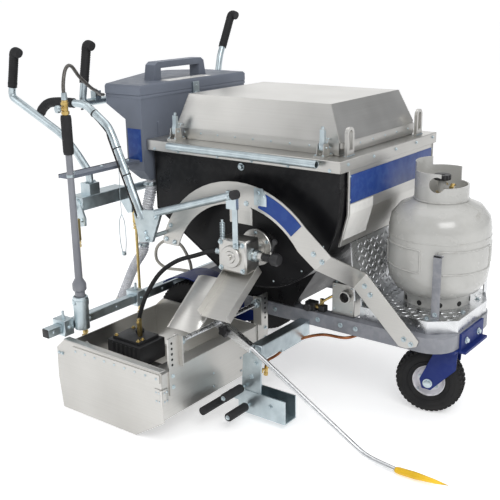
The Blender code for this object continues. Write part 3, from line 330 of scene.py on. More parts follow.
class Piece:
    """One visible piece, collected in a single mesh from the solids added to it."""

    def __init__(self, name, finish, body=CHASSIS, instead_of=()):
        self.name = name
        self.finish = finish
        self.body = body
        self.instead_of = instead_of
        self.bm = bmesh.new()

    def take(self, bm):
        """Close a solid's normals and add it to the piece."""
        bmesh.ops.recalc_face_normals(bm, faces=bm.faces)
        mesh = bpy.data.meshes.new("scratch")
        bm.to_mesh(mesh)
        bm.free()
        self.bm.from_mesh(mesh)
        bpy.data.meshes.remove(mesh)

    def rings(self, rings, closed=False):
        """Skin a run of rings of equal count, and cap its ends."""
        bm = bmesh.new()
        loops = []
        for ring in rings:
            if len(ring) == 1:
                loops.append([bm.verts.new(ring[0])])
            else:
                loops.append([bm.verts.new(p) for p in ring])
        pairs = list(zip(loops, loops[1:]))
        if closed:
            pairs.append((loops[-1], loops[0]))
        for a, b in pairs:
            count = max(len(a), len(b))
            for i in range(count):
                j = (i + 1) % count
                corners = [a[i % len(a)], a[j % len(a)], b[j % len(b)], b[i % len(b)]]
                face = [v for k, v in enumerate(corners) if v not in corners[:k]]
                if len(face) > 2:
                    bm.faces.new(face)
        if not closed:
            for loop in (loops[0], loops[-1]):
                if len(loop) > 2:
                    bm.faces.new(loop)
        self.take(bm)
        return self

    def lathe(self, profile, at, axis=(0, 0, 1), steps=24, closed=False):
        """Turn (radius, height) points round an axis."""
        spin = Vector((0, 0, 1)).rotation_difference(Vector(axis)).to_matrix()
        at = Vector(at)
        rings = []
        for radius, height in profile:
            if radius < 1e-6:
                rings.append([at + spin @ Vector((0, 0, height))])
                continue
            ring = []
            for i in range(steps):
                angle = 2 * math.pi * i / steps
                ring.append(at + spin @ Vector((radius * math.cos(angle), radius * math.sin(angle), height)))
            rings.append(ring)
        return self.rings(rings, closed)

    def tube(self, path, radius, steps=10):
        """A round bar along a path; radius is one number, or one for each point."""
        path = [Vector(p) for p in path]
        sizes = radius if isinstance(radius, list) else [radius] * len(path)
        side = None
        rings = []
        for i, point in enumerate(path):
            ahead = path[min(i + 1, len(path) - 1)] - path[max(i - 1, 0)]
            ahead.normalize()
            if side is None:
                side = ahead.orthogonal().normalized()
            side = (side - ahead * side.dot(ahead)).normalized()
            rise = ahead.cross(side)
            ring = []
            for k in range(steps):
                angle = 2 * math.pi * k / steps
                ring.append(point + (side * math.cos(angle) + rise * math.sin(angle)) * sizes[i])
            rings.append(ring)
        return self.rings(rings)

    def prism(self, outline, plane, low, high, edge=0.0):
        """Push an outline in the XY, XZ or YZ plane from low to high, with eased edges."""
        bm = bmesh.new()
        loops = []
        for level in (low, high):
            loop = []
            for u, v in outline:
                point = {"XY": (u, v, level), "XZ": (u, level, v), "YZ": (level, u, v)}[plane]
                loop.append(bm.verts.new(point))
            loops.append(loop)
        count = len(outline)
        for i in range(count):
            j = (i + 1) % count
            bm.faces.new((loops[0][i], loops[0][j], loops[1][j], loops[1][i]))
        bm.faces.new(loops[0])
        bm.faces.new(loops[1])
        if edge:
            bmesh.ops.bevel(bm, geom=list(bm.edges), offset=edge, segments=2, profile=0.6,
                            affect="EDGES", clamp_overlap=True)
        self.take(bm)
        return self

    def box(self, low, high, edge=0.0006):
        x0, y0, z0 = low
        x1, y1, z1 = high
        return self.prism([(x0, y0), (x1, y0), (x1, y1), (x0, y1)], "XY", z0, z1, edge)

    def bolt(self, at, axis, size=0.0045):
        """A washer, a chamfered hexagon head and the ring pressed in its top."""
        s = size
        self.lathe([(0, 0), (s * 1.65, 0), (s * 1.65, s * 0.22), (s * 1.55, s * 0.32), (0, s * 0.32)], at,
                   axis, 20)
        top = s * 1.15
        self.lathe([(0, s * 0.30), (s * 1.12, s * 0.30), (s * 1.12, top * 0.93), (s * 0.98, top * 1.10),
                    (s * 0.62, top * 1.10), (s * 0.55, top * 1.02), (0, top * 1.02)], at, axis, 6)
        return self

    def rivet(self, at, axis, size=0.003):
        s = size
        return self.lathe([(0, 0), (s, 0), (s * 0.94, s * 0.26), (s * 0.66, s * 0.50), (0, s * 0.60)], at,
                          axis, 14)

    def done(self, smooth=38.0):
        """Make the object in place on its body."""
        bmesh.ops.translate(self.bm, verts=self.bm.verts, vec=ORIGIN)
        mesh = bpy.data.meshes.new(self.name)
        self.bm.to_mesh(mesh)
        self.bm.free()
        mesh.shade_smooth()
        mesh.set_sharp_from_angle(angle=math.radians(smooth))
        obj = bpy.data.objects.new(self.name, mesh)
        bpy.context.scene.collection.objects.link(obj)
        mesh.materials.append(MAT.get(self.finish) or EXTRA[self.finish])
        if self.body:
            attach(obj, self.body)
        if self.instead_of:
            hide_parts(*self.instead_of)
        return obj


# ---------------------------------------------------------------- camera and cords

def camera():
    """A fixed camera to the machine's front right."""
    data = bpy.data.cameras.new("camera")
    data.lens = 61.757
    data.sensor_width = 36.0
    data.clip_start = 0.05
    data.clip_end = 60.0
    obj = bpy.data.objects.new("camera", data)
    right = Vector((0.798, 0.603, -0.018)).normalized()
    forward = Vector((-0.580, 0.760, -0.292))
    forward = (forward - right * forward.dot(right)).normalized()
    up = right.cross(forward)
    turn = Matrix((right, up, -forward)).transposed().to_4x4()
    turn.translation = Vector((1.63118, -2.22078, 1.30))
    obj.matrix_world = turn
    bpy.context.scene.collection.objects.link(obj)
    bpy.context.scene.camera = obj


def hose_mesh(name, path, radius, finish, node):
    """A hose as a mesh tube on its route, in place of the imported one."""
    piece = Piece(name, finish, None, (node,))
    piece.tube(path, radius, 14)
    obj = piece.done()
    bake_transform(obj)
    return obj


TORCH_HOSE = [(-0.900, -0.657, 0.9905), (-0.900, -0.657, 1.035), (-0.905, -0.640, 1.078),
              (-0.925, -0.600, 1.085), (-0.950, -0.545, 1.045), (-0.985, -0.470, 1.004),
              (-1.025, -0.410, 0.985), (-1.068, -0.358, 0.968), (-1.092, -0.318, 0.960),
              (-1.1177, -0.318, 0.960)]
DIE_HOSE = [(-0.5203, -0.385, 0.510), (-0.545, -0.385, 0.510), (-0.580, -0.386, 0.503),
            (-0.640, -0.390, 0.480), (-0.710, -0.405, 0.452), (-0.765, -0.430, 0.405),
            (-0.805, -0.455, 0.330), (-0.825, -0.470, 0.262), (-0.828, -0.472, 0.235),
            (-0.828, -0.472, 0.2154)]


def length_of(path):
    return sum((b - a).length for a, b in zip(path, path[1:]))


def cords():
    """The torch's braided hose and the black hose to the die block, both seen end to end."""
    route = even_path(round_path(TORCH_HOSE, 16), 72)
    hose = hose_mesh("torch_hose_braided", route, 0.0055, "grey_hose", "torch_hose")
    route = even_path(round_path(DIE_HOSE, 16), 72)
    hose = hose_mesh("die_hose_black", route, 0.0073, "rubber", "die_hose")


# ---------------------------------------------------------------- studio

def studio():
    """A pale floor, a white room and soft lights."""
    world = bpy.data.worlds.new("studio")
    scene = bpy.context.scene
    scene.world = world
    scene.view_settings.view_transform = "Standard"
    world.use_nodes = True
    tree = world.node_tree

    def node(kind, **settings):
        made = tree.nodes.new(kind)
        for key, value in settings.items():
            setattr(made, key, value)
        return made

    coord = node("ShaderNodeTexCoord")
    split = node("ShaderNodeSeparateXYZ")
    tree.links.new(coord.outputs["Generated"], split.inputs[0])
    overhead = node("ShaderNodeMapRange")
    overhead.inputs["From Min"].default_value = 0.15
    overhead.inputs["From Max"].default_value = 0.75
    overhead.inputs["To Max"].default_value = 0.55
    tree.links.new(split.outputs["Z"], overhead.inputs["Value"])
    facing = node("ShaderNodeVectorMath", operation="DOT_PRODUCT")
    facing.inputs[1].default_value = (-0.580, 0.760, -0.292)
    tree.links.new(coord.outputs["Generated"], facing.inputs[0])
    backdrop = node("ShaderNodeMapRange")
    backdrop.inputs["From Min"].default_value = 0.55
    backdrop.inputs["From Max"].default_value = 0.86
    tree.links.new(facing.outputs["Value"], backdrop.inputs["Value"])
    most = node("ShaderNodeMath", operation="MAXIMUM")
    tree.links.new(overhead.outputs["Result"], most.inputs[0])
    tree.links.new(backdrop.outputs["Result"], most.inputs[1])
    band = node("ShaderNodeValToRGB")
    band.color_ramp.elements[0].color = (0.34, 0.35, 0.37, 1.0)
    band.color_ramp.elements[1].color = (1.02, 1.02, 1.02, 1.0)
    tree.links.new(most.outputs["Value"], band.inputs["Fac"])
    tree.links.new(band.outputs["Color"], tree.nodes["Background"].inputs["Color"])
    tree.nodes["Background"].inputs["Strength"].default_value = 1.0

    floor = bpy.data.meshes.new("floor")
    size = 30.0
    floor.from_pydata([(-size, -size, 0), (size, -size, 0), (size, size, 0), (-size, size, 0)], [],
                      [(0, 1, 2, 3)])
    ground = bpy.data.objects.new("studio_floor", floor)
    ground.location = (0, 0, -0.0005)
    bpy.context.scene.collection.objects.link(ground)
    white = Finish("studio_white", (0.90, 0.90, 0.90), 0.85)
    white.colour(white.ramp(white.noise(0.6), (0.3, 0.79), (0.7, 0.81)))
    white.set("Emission Color", (1.0, 1.0, 1.0, 1.0))
    white.set("Emission Strength", 0.48)
    floor.materials.append(white.mat)

    def softbox(name, at, aim, size, power):
        lamp = bpy.data.lights.new(name, "AREA")
        lamp.shape = "RECTANGLE"
        lamp.size, lamp.size_y = size
        lamp.energy = power
        obj = bpy.data.objects.new(name, lamp)
        obj.location = at
        obj.rotation_euler = (Vector(aim) - Vector(at)).to_track_quat("-Z", "Y").to_euler()
        bpy.context.scene.collection.objects.link(obj)

    softbox("key", (2.6, -2.2, 3.2), (0.0, 0.0, 0.5), (2.2, 1.6), 68.0)
    softbox("left", (-2.8, -2.6, 2.2), (-0.2, 0.0, 0.5), (1.6, 2.4), 19.0)
    softbox("top", (0.0, 0.3, 3.6), (0.0, 0.0, 0.6), (3.0, 2.4), 22.0)
    softbox("back", (-1.2, 3.0, 2.4), (0.0, 0.0, 0.6), (2.6, 1.6), 6.0)


def dress_nodes():
    """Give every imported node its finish, eased edges and even shading."""
    finish_of = {s["node"]: s["material_slot"] for s in frame["record"]["subparts"]}
    for name, obj in frame["nodes"].items():
        mats = obj.data.materials
        if len(mats) == 0:
            mats.append(MAT[finish_of[name]])
        for i in range(len(mats)):
            mats[i] = MAT[finish_of[name]]
        weld = obj.modifiers.new("weld", "WELD")
        weld.merge_threshold = 0.00001
        ease = obj.modifiers.new("eased_edges", "BEVEL")
        ease.width = 0.0008
        ease.segments = 2
        ease.limit_method = "ANGLE"
        ease.angle_limit = math.radians(38.0)
        ease.use_clamp_overlap = True
        even = obj.modifiers.new("shading", "WEIGHTED_NORMAL")
        even.keep_sharp = False
        even.weight = 60


# ---------------------------------------------------------------- kettle

def kettle_details():
    seams = Piece("kettle_seams", "kettle_black")
    outline = [(-0.889, 0.780), (-0.889, 0.585)] + arc(-0.480, 0.700, 0.3185, 246, 360, 40)
    outline += [(-0.1615, 0.780)]
    for y in (-0.2903, 0.2903):
        seams.tube([(x, y, z) for x, z in outline], 0.0022, 8)
    seams.done()
    bolts = Piece("kettle_bolts", "zinc")
    bolts.bolt((-0.522, -0.2903, 0.766), (0, -1, 0), 0.0075)
    for y in (-0.2903, 0.2903):
        for angle in (262, 285, 308, 331):
            x = -0.480 + 0.300 * math.cos(math.radians(angle))
            z = 0.700 + 0.300 * math.sin(math.radians(angle))
            bolts.rivet((x, y, z), (0, math.copysign(1, y), 0), 0.0032)
    bolts.done()
    fixings = Piece("rim_fixings", "zinc")
    for x in (-0.870, -0.765, -0.600, -0.465, -0.330, -0.185):
        fixings.bolt((x, -0.3122, 0.7935), (0, -1, 0), 0.0034)
    for y in (-0.270, -0.120, 0.020, 0.160, 0.280):
        fixings.bolt((-0.1478, y, 0.8090), (1, 0, 0), 0.0034)
    for x in (-0.812, -0.236):
        for dx in (-0.013, 0.013):
            fixings.bolt((x + dx, -0.2870, 0.8282), (0, 0, 1), 0.0026)
            fixings.bolt((x + dx, -0.2450, 0.8282), (0, 0, 1), 0.0026)
        fixings.lathe([(0, -0.0165), (0.0034, -0.0160), (0.0034, 0.0160), (0, 0.0165)],
                      (x, -0.268, 0.850), (1, 0, 0), 14)
        fixings.lathe([(0.0052, -0.0145), (0.0052, -0.0127), (0.0036, -0.0127), (0.0036, -0.0145)],
                      (x, -0.268, 0.850), (1, 0, 0), 14, True)
    for y in (-0.212, 0.232):
        fixings.tube([(-0.1735, y - 0.021, 0.8232), (-0.1735, y + 0.021, 0.8232)], 0.0020, 8)
        fixings.tube([(-0.1845, y - 0.021, 0.8232), (-0.1845, y + 0.021, 0.8232)], 0.0020, 8)
    fixings.done()
    for where, x in (("front", -0.236), ("rear", -0.812)):
        hook = Piece(f"clamp_hook_{where}", "zinc", f"clamp_handle_{where}")
        loop = [(x - 0.0062, -0.2565, 0.861), (x - 0.0062, -0.2475, 0.872), (x - 0.0062, -0.2405, 0.872),
                (x, -0.2385, 0.8725), (x + 0.0062, -0.2405, 0.872), (x + 0.0062, -0.2475, 0.872),
                (x + 0.0062, -0.2565, 0.861)]
        hook.tube(round_path(loop, 4), 0.0016, 8)
        hook.lathe([(0, 0), (0.0046, 0.0004), (0.0052, 0.004), (0.0040, 0.0085), (0, 0.0092)],
                   (x, -0.268, 0.9030), (0, 0, 1), 14)
        hook.done()

    skirt = Piece("lid_skirt_strip", "stainless", "kettle_lid")
    for low, high in (((-0.8345, -0.2372, 0.8262), (-0.1975, -0.2352, 0.8600)),
                      ((-0.8345, 0.2352, 0.8402), (-0.1975, 0.2372, 0.8600)),
                      ((-0.1998, -0.2372, 0.8262), (-0.1975, 0.2372, 0.8600)),
                      ((-0.8345, -0.2372, 0.8262), (-0.8322, 0.2372, 0.8600))):
        skirt.box(low, high, 0.0005)
    skirt.done()
    welds = Piece("lid_corner_welds", "stainless", "kettle_lid")
    for x0, x1 in ((-0.832, -0.797), (-0.200, -0.245)):
        for y0, y1 in ((-0.235, -0.210), (0.235, 0.210)):
            low, high = Vector((x0, y0, 0.866)), Vector((x1, y1, 0.969))
            count = 30
            path = [low.lerp(high, i / count) for i in range(count + 1)]
            welds.tube(path, [0.0014 + 0.0004 * math.sin(i * 2.4) for i in range(count + 1)], 8)
    welds.done()
    rivets = Piece("lid_rivets", "zinc", "kettle_lid")
    for i in range(9):
        rivets.rivet((-0.800 + i * 0.071, -0.2374, 0.8455), (0, -1, 0), 0.0036)
        rivets.rivet((-0.800 + i * 0.071, 0.2374, 0.8500), (0, 1, 0), 0.0036)
    for i in range(6):
        rivets.rivet((-0.1973, -0.195 + i * 0.078, 0.8455), (1, 0, 0), 0.0036)
        rivets.rivet((-0.8347, -0.195 + i * 0.078, 0.8455), (-1, 0, 0), 0.0036)
    rivets.done()

    shield = Piece("shield_blue_panel", "label_blue")
    shield.box((-0.1508, -0.2500, 0.6880), (-0.1500, 0.2800, 0.7740), 0.0003)
    shield.done()
    plate = Piece("shield_pale_panel", "label_pale")
    lean = [(-0.1508, 0.6850), (-0.1500, 0.6850), (-0.1500, 0.6560), (-0.1740, 0.5720), (-0.1749, 0.5725),
            (-0.1508, 0.6565)]
    plate.prism(lean, "XZ", -0.2500, -0.1150, 0.0002)
    plate.done()
    trim = Piece("shield_edge", "stainless")
    for y in (-0.2605, 0.2885):
        trim.tube([(-0.1500, y, 0.8000), (-0.1500, y, 0.6570), (-0.1800, y, 0.5530)], 0.0022, 8)
    trim.done()
    screws = Piece("shield_screws", "zinc")
    for y in (-0.2520, 0.2820):
        for z in (0.700, 0.770):
            screws.rivet((-0.1506, y, z), (1, 0, 0), 0.0036)
    screws.done()


# ---------------------------------------------------------------- arch, valve and levers

def arch_details():
    near = -0.3624
    bolts = Piece("arch_bolts", "zinc")
    for x, z in ((-0.402, 0.712), (-0.384, 0.700), (-0.402, 0.684), (-0.494, 0.672), (-0.450, 0.672),
                 (-0.788, 0.506), (-0.766, 0.556), (-0.752, 0.500), (-0.206, 0.552), (-0.176, 0.533)):
        bolts.bolt((x, near, z), (0, -1, 0), 0.0052)
    for x, z in ((-0.128, 0.420), (-0.108, 0.395), (0.010, 0.277), (0.034, 0.266)):
        bolts.bolt((x, -0.1950, z), (0, -1, 0), 0.0052)
    bolts.done()
    bracket = Piece("arch_bracket", "zinc")
    bracket.prism([(-0.418, 0.672), (-0.372, 0.672), (-0.372, 0.700), (-0.386, 0.726), (-0.418, 0.726)],
                  "XZ", near - 0.0030, near - 0.0002, 0.0006)
    bracket.done()
    band = Piece("arch_blue_band", "label_blue")
    centre = (-0.483, 0.395)
    outline = arc(*centre, 0.332, 74, 45, 16) + arc(*centre, 0.280, 45, 74, 16)
    band.prism(outline, "XZ", near - 0.0010, near - 0.0002, 0.0002)
    band.done()


def valve_details():
    bolts = Piece("valve_bolts", "zinc")
    for x, z in ((-0.508, 0.556), (-0.424, 0.556), (-0.508, 0.474), (-0.424, 0.474)):
        bolts.bolt((x, -0.4203, z), (0, -1, 0), 0.0052)
    for angle in (35, 90, 145, 215, 325):
        x = -0.462 + 0.030 * math.cos(math.radians(angle))
        z = 0.515 + 0.030 * math.sin(math.radians(angle))
        bolts.lathe([(0, 0), (0.0032, 0), (0.0032, 0.012), (0, 0.013)], (x, -0.3470, z), (0, 1, 0), 10)
    bolts.done()
    cover = Piece("valve_cover", "stainless")
    cover.lathe([(0, 0), (0.034, 0), (0.035, 0.001), (0.035, 0.007), (0.033, 0.009), (0.020, 0.009),
                 (0.018, 0.013), (0.009, 0.013), (0.008, 0.020), (0, 0.020)], (-0.466, -0.4200, 0.515),
                (0, -1, 0), 32)
    cover.done()
    flange = Piece("valve_flange", "stainless")
    flange.lathe([(0.0365, 0), (0.058, 0), (0.060, 0.002), (0.060, 0.010), (0.058, 0.012), (0.0365, 0.012)],
                 (-0.462, -0.2906, 0.515), (0, -1, 0), 36, True)
    flange.done()
    nuts = Piece("flange_bolts", "zinc")
    for k in range(6):
        x = -0.462 + 0.049 * math.cos(math.radians(30 + k * 60))
        z = 0.515 + 0.049 * math.sin(math.radians(30 + k * 60))
        nuts.bolt((x, -0.3027, z), (0, -1, 0), 0.0040)
    nuts.done()
    handle = Piece("valve_side_handle", "black_plastic")
    handle.lathe([(0, 0), (0.010, 0), (0.012, 0.004), (0.012, 0.030), (0.019, 0.036), (0.020, 0.052),
                  (0.016, 0.060), (0, 0.062)], (-0.3720, -0.385, 0.520), (1, 0, 0), 20)
    handle.tube([(-0.340, -0.385, 0.542), (-0.336, -0.385, 0.556), (-0.330, -0.385, 0.570)], 0.0045, 10)
    handle.lathe([(0, 0), (0.007, 0.001), (0.009, 0.007), (0.007, 0.013), (0, 0.015)],
                 (-0.3305, -0.385, 0.568), (0.3, 0, 1), 14)
    handle.done()
    port = Piece("valve_port_nut", "zinc")
    port.lathe([(0.0143, -0.052), (0.021, -0.052), (0.021, -0.034), (0.0143, -0.034)],
               (-0.3720, -0.385, 0.520), (1, 0, 0), 6, True)
    port.lathe([(0.0143, -0.026), (0.018, -0.026), (0.018, -0.016), (0.0143, -0.016)],
               (-0.3720, -0.385, 0.520), (1, 0, 0), 24, True)
    port.done()
    spring = Piece("valve_spring", "zinc")
    helix = []
    for i in range(0, 121):
        angle = i * 2 * math.pi / 12
        helix.append((-0.492 + 0.0075 * math.cos(angle), -0.4290 + 0.0075 * math.sin(angle),
                      0.572 + 0.00042 * i))
    spring.tube(helix, 0.0013, 6)
    spring.lathe([(0, 0), (0.0040, 0), (0.0040, 0.062), (0, 0.063)], (-0.492, -0.4290, 0.5680),
                 (0, 0, 1), 12)
    spring.done()
    fitting = Piece("die_hose_fitting", "zinc")
    fitting.lathe([(0.0080, 0.000), (0.0135, 0.000), (0.0135, 0.012), (0.0080, 0.012)],
                  (-0.5206, -0.385, 0.510), (-1, 0, 0), 6, True)
    fitting.lathe([(0.0080, 0.014), (0.0100, 0.014), (0.0100, 0.032), (0.0080, 0.032)],
                  (-0.5206, -0.385, 0.510), (-1, 0, 0), 20, True)
    fitting.done()


def scoop_details():
    """The bright scoop: one pressed sheet, bulged across and curved down to its lip."""
    start, end = Vector((0, -0.395, 0.415)), Vector((0, -0.555, 0.290))
    along = (end - start).normalized()
    out = Vector((0, along.z, -along.y))
    left, right, sheet = -0.6215, -0.5040, 0.0016
    rings = []
    for i in range(15):
        t = i / 14
        spot = start.lerp(end, t)
        rise = 0.008 + 0.019 * math.sin(math.pi * min(1.0, 0.15 + t * 0.85))
        section = []
        for side, inset in ((1, 0.0), (-1, sheet)):
            for k in range(17):
                u = k / 16 if side > 0 else 1 - k / 16
                height = rise * math.sin(math.pi * u) ** 0.6 + 0.001 - inset * 0.9
                x = left + inset + (right - left - 2 * inset) * u
                section.append(spot + Vector((x, 0, 0)) + out * max(height, 0.0002))
        rings.append(section)
    scoop = Piece("chute_scoop_pressed", "stainless", CHASSIS, ("chute_scoop",))
    scoop.rings(rings)
    scoop.box((left + 0.012, -0.4020, 0.4120), (right - 0.012, -0.3900, 0.4190), 0.0010)
    scoop.done(50.0)
    lip = Piece("scoop_rolled_edges", "stainless")
    for x in (left, right):
        edge = Vector((x, 0, 0)) + out * 0.0016
        lip.tube([start + edge, end + edge], 0.0022, 8)
    lip.done()


def lever_details():
    cap = Piece("lever_end_caps", "rubber", "valve_lever")
    cap.lathe([(0, 0.006), (0.0132, 0.005), (0.0142, 0.0), (0.0142, -0.016), (0.0119, -0.016), (0.0119, 0)],
              (-0.4195, -0.450, 0.7215), (0.955, 0, 0.298), 20)
    cap.done()
    hardware = Piece("lever_bolts", "zinc", "valve_lever")
    for x, z in ((-0.815, 0.600), (-0.745, 0.606), (-0.792, 0.548)):
        hardware.bolt((x, -0.4563, z), (0, -1, 0), 0.0052)
    hardware.bolt((-0.787, -0.4563, 0.530), (0, -1, 0), 0.0070)
    hardware.bolt((-0.443, -0.4625, 0.7130), (0, -1, 0), 0.0048)
    hardware.done()
    cable = Piece("lever_cable", "rubber", "valve_lever")
    line = [(-1.060, -0.450, 0.9275), (-1.033, -0.450, 0.9270), (-0.948, -0.455, 0.868),
            (-0.932, -0.457, 0.838), (-0.865, -0.457, 0.684), (-0.825, -0.456, 0.592)]
    cable.tube(round_path(line, 8), 0.0030, 8)
    for point, axis in (((-1.000, -0.450, 0.9190), (0.83, 0, -0.56)),
                        ((-0.905, -0.450, 0.8130), (0.40, 0, -0.92)),
                        ((-0.868, -0.450, 0.7290), (0.40, 0, -0.92))):
        cable.lathe([(0.0128, -0.002), (0.0142, -0.002), (0.0142, 0.002), (0.0128, 0.002)], point, axis, 20,
                    True)
    cable.done()
    link = Piece("link_clevis", "zinc", "valve_link")
    link.bolt((-0.443, -0.4313, 0.694), (0, -1, 0), 0.0048)
    link.bolt((-0.443, -0.4313, 0.556), (0, -1, 0), 0.0048)
    link.done()
    beam = Piece("lift_beam_bolts", "zinc", "lift_lever")
    for x, y, z in ((-0.990, -0.520, 0.7003), (-0.990, -0.480, 0.7003)):
        beam.bolt((x, y, z), (0, 0, 1), 0.0034)
    for x, z in ((-0.968, 0.588), (-0.992, 0.628)):
        beam.bolt((x, -0.5662, z), (0, -1, 0), 0.0050)
    beam.done()


def grips():
    """Ribbed hand grips with a hooked pommel."""
    def ribbed(name, node, body, path, radius=0.0164):
        line = even_path(round_path(path, 10), 56)
        sizes = []
        for i in range(len(line)):
            t = i / (len(line) - 1)
            size = radius * (0.90 + 0.10 * min(1.0, t * 14, (1 - t) * 16 + 0.35))
            if 0.10 < t < 0.72:
                size *= 0.955 + 0.045 * math.cos(t * 120.0)
            sizes.append(size)
        sizes[0] = radius
        piece = Piece(name, "rubber", body, (node,))
        piece.tube(line, sizes, 22)
        piece.done(60.0)

    hook = Vector((0.016, 0, -0.004))
    spots = (("grip_right_ribbed", "grip_right", CHASSIS, (-1.130, -0.343, 1.128), (-1.130, -0.368, 1.001)),
             ("grip_left_ribbed", "grip_left", CHASSIS, (-1.130, 0.447, 1.200), (-1.130, 0.383, 1.074)),
             ("lift_grip_ribbed", "lift_lever_grip", "lift_lever", (-1.316, -0.500, 1.110),
              (-1.344, -0.500, 0.990)))
    for name, node, body, top, low in spots:
        top, low = Vector(top), Vector(low)
        along = (top - low).normalized()
        path = [low + along * 0.001, low.lerp(top, 0.5), top - along * 0.014, top + hook * 0.35,
                top + hook * 1.6]
        ribbed(name, node, body, path)
    ribbed("valve_grip_ribbed", "valve_lever_grip", "valve_lever",
           [(-1.0965, -0.450, 0.946), (-1.160, -0.450, 0.9455), (-1.220, -0.450, 0.938),
            (-1.256, -0.450, 0.916), (-1.267, -0.450, 0.900)])


# ---------------------------------------------------------------- hopper and bead line

def hopper_details():
    seam = Piece("hopper_flange", "hopper_grey")
    outline = [(-0.9050, -0.3295), (-1.0700, -0.3295), (-1.2265, 0.0190), (-1.2265, 0.1510),
               (-1.1105, 0.2475), (-0.9050, 0.2355)]
    seam.prism(outline, "XY", 0.9560, 0.9660, 0.0015)
    seam.done()
    near = Piece("hopper_blue_plate", "label_blue")
    near.box((-0.9750, -0.3292, 0.7460), (-0.9140, -0.3282, 0.8560), 0.0003)
    near.done()
    label = Piece("hopper_lid_label", "label_pale", "hopper_lid")
    label.box((-0.9680, -0.1650, 1.0002), (-0.9200, 0.0550, 1.0009), 0.0002)
    label.done()
    catch = Piece("latch_plates", "zinc")
    catch.box((-0.9066, -0.0760, 0.9260), (-0.9045, -0.0360, 0.9520), 0.0006)
    for y in (-0.068, -0.044):
        catch.rivet((-0.9045, y, 0.9310), (1, 0, 0), 0.0026)
    catch.done()
    keeper = Piece("latch_keeper", "zinc", "hopper_latch")
    keeper.tube(round_path([(-0.8958, -0.070, 0.945), (-0.8925, -0.070, 0.952), (-0.8925, -0.056, 0.956),
                            (-0.8925, -0.042, 0.952), (-0.8958, -0.042, 0.945)], 6), 0.0018, 8)
    keeper.rivet((-0.8960, -0.056, 0.9760), (1, 0, 0), 0.0040)
    keeper.done()
    # A thin near-black plate on the hopper front: painted shade in place of a real recessed slot.
    slot_shade = Piece("hopper_slot_shade", "dark_hole")
    slot_shade.prism([(-0.020, 0.928), (0.060, 0.928), (0.064, 0.934), (0.060, 0.941), (-0.020, 0.941),
                  (-0.024, 0.934)], "YZ", -0.9069, -0.9064, 0.0001)
    slot_shade.done()
    ribs = Piece("hopper_ribs", "hopper_grey")
    for y in (-0.250, -0.140, -0.030):
        ribs.prism([(-0.9068, 0.740), (-0.9040, 0.745), (-0.9040, 0.870), (-0.9068, 0.875)], "XZ",
                   y - 0.004, y + 0.004, 0.0008)
    ribs.done()
    screws = Piece("tray_screws", "zinc")
    for y in (-0.600, -0.480, -0.360):
        screws.bolt((-0.950, y, 0.7521), (0, 0, 1), 0.0040)
    screws.done()
    edge = Piece("tray_lip", "black_plastic")
    edge.prism([(-0.9765, 0.7405), (-0.9752, 0.7405), (-0.9752, 0.7535), (-0.9765, 0.7535)], "XZ", -0.640,
               -0.325, 0.0002)
    edge.done()


def ribbed_hose(name, node, route, radius, pitch):
    """A spiral-ribbed clear hose in place of the plain one."""
    line = even_path(round_path(route, 16), 40)
    total = length_of(line)
    count = int(total / pitch) * 6
    line = even_path(line, count)
    sizes = [radius * (0.90 + 0.10 * math.cos(i * 2 * math.pi / 6)) for i in range(len(line))]
    piece = Piece(name, "clear_hose", CHASSIS, (node,))
    piece.tube(line, sizes, 20)
    return piece.done(80.0)


def clip(piece, at, axis, radius):
    """A worm-drive hose clip: its band, edges and screw housing."""
    at, axis = Vector(at), Vector(axis).normalized()
    piece.lathe([(radius, -0.0060), (radius + 0.0012, -0.0060), (radius + 0.0018, -0.0050),
                 (radius + 0.0018, 0.0050), (radius + 0.0012, 0.0060), (radius, 0.0060)], at, axis, 32, True)
    side = axis.cross(Vector((0, -1, 0.2))).normalized()
    out = side.cross(axis).normalized()
    spot = at + out * (radius + 0.0048)
    piece.lathe([(0, -0.0100), (0.0030, -0.0100), (0.0038, -0.0085), (0.0038, 0.0055), (0, 0.0055)], spot,
                side, 12)
    piece.lathe([(0, 0.0055), (0.0042, 0.0055), (0.0042, 0.0085), (0.0022, 0.0098), (0, 0.0098)], spot, side,
                6)


def bead_details():
    y = -0.268
    top, low = Vector((-0.936, y, 0.6772)), Vector((-0.966, y, 0.5445))
    ribbed_hose("bead_hose_upper_ribbed", "bead_hose_upper",
                [top, top + Vector((0, 0, -0.03)), low + Vector((0.007, 0, 0.03)), low], 0.0205, 0.0092)
    start, end = Vector((-0.984, y, 0.4474)), Vector((-1.118, y, 0.205))
    ribbed_hose("bead_hose_lower_ribbed", "bead_hose_lower",
                [start, start + Vector((-0.0074, 0, -0.0393)), (-1.045, y, 0.335), end], 0.0174, 0.0086)
    clips = Piece("hose_clips", "zinc")
    clip(clips, (-0.9365, y, 0.660), (-0.02, 0, -1), 0.0205)
    clip(clips, (-0.9615, y, 0.560), (-0.18, 0, -1), 0.0205)
    clip(clips, (-0.9870, y, 0.434), (-0.20, 0, -1), 0.0174)
    clips.done()
    nozzle = Piece("bead_spout_nozzle", "stainless")
    nozzle.lathe([(0, 0), (0.0166, 0.0002), (0.0176, 0.004), (0.0176, 0.012), (0.0190, 0.014),
                  (0.0190, 0.018), (0.0150, 0.020), (0, 0.020)], (-1.118, y, 0.2045), (-0.42, 0, -0.91), 24)
    nozzle.done()
    wire = Piece("cone_seam", "stainless")
    wire.lathe([(0.0222, 0.0), (0.0262, 0.0085), (0.0268, 0.0105), (0.0262, 0.0125), (0.0248, 0.0125)],
               (-0.966, y, 0.544), (-0.184, 0, -0.983), 28, True)
    wire.done()


# ---------------------------------------------------------------- die box

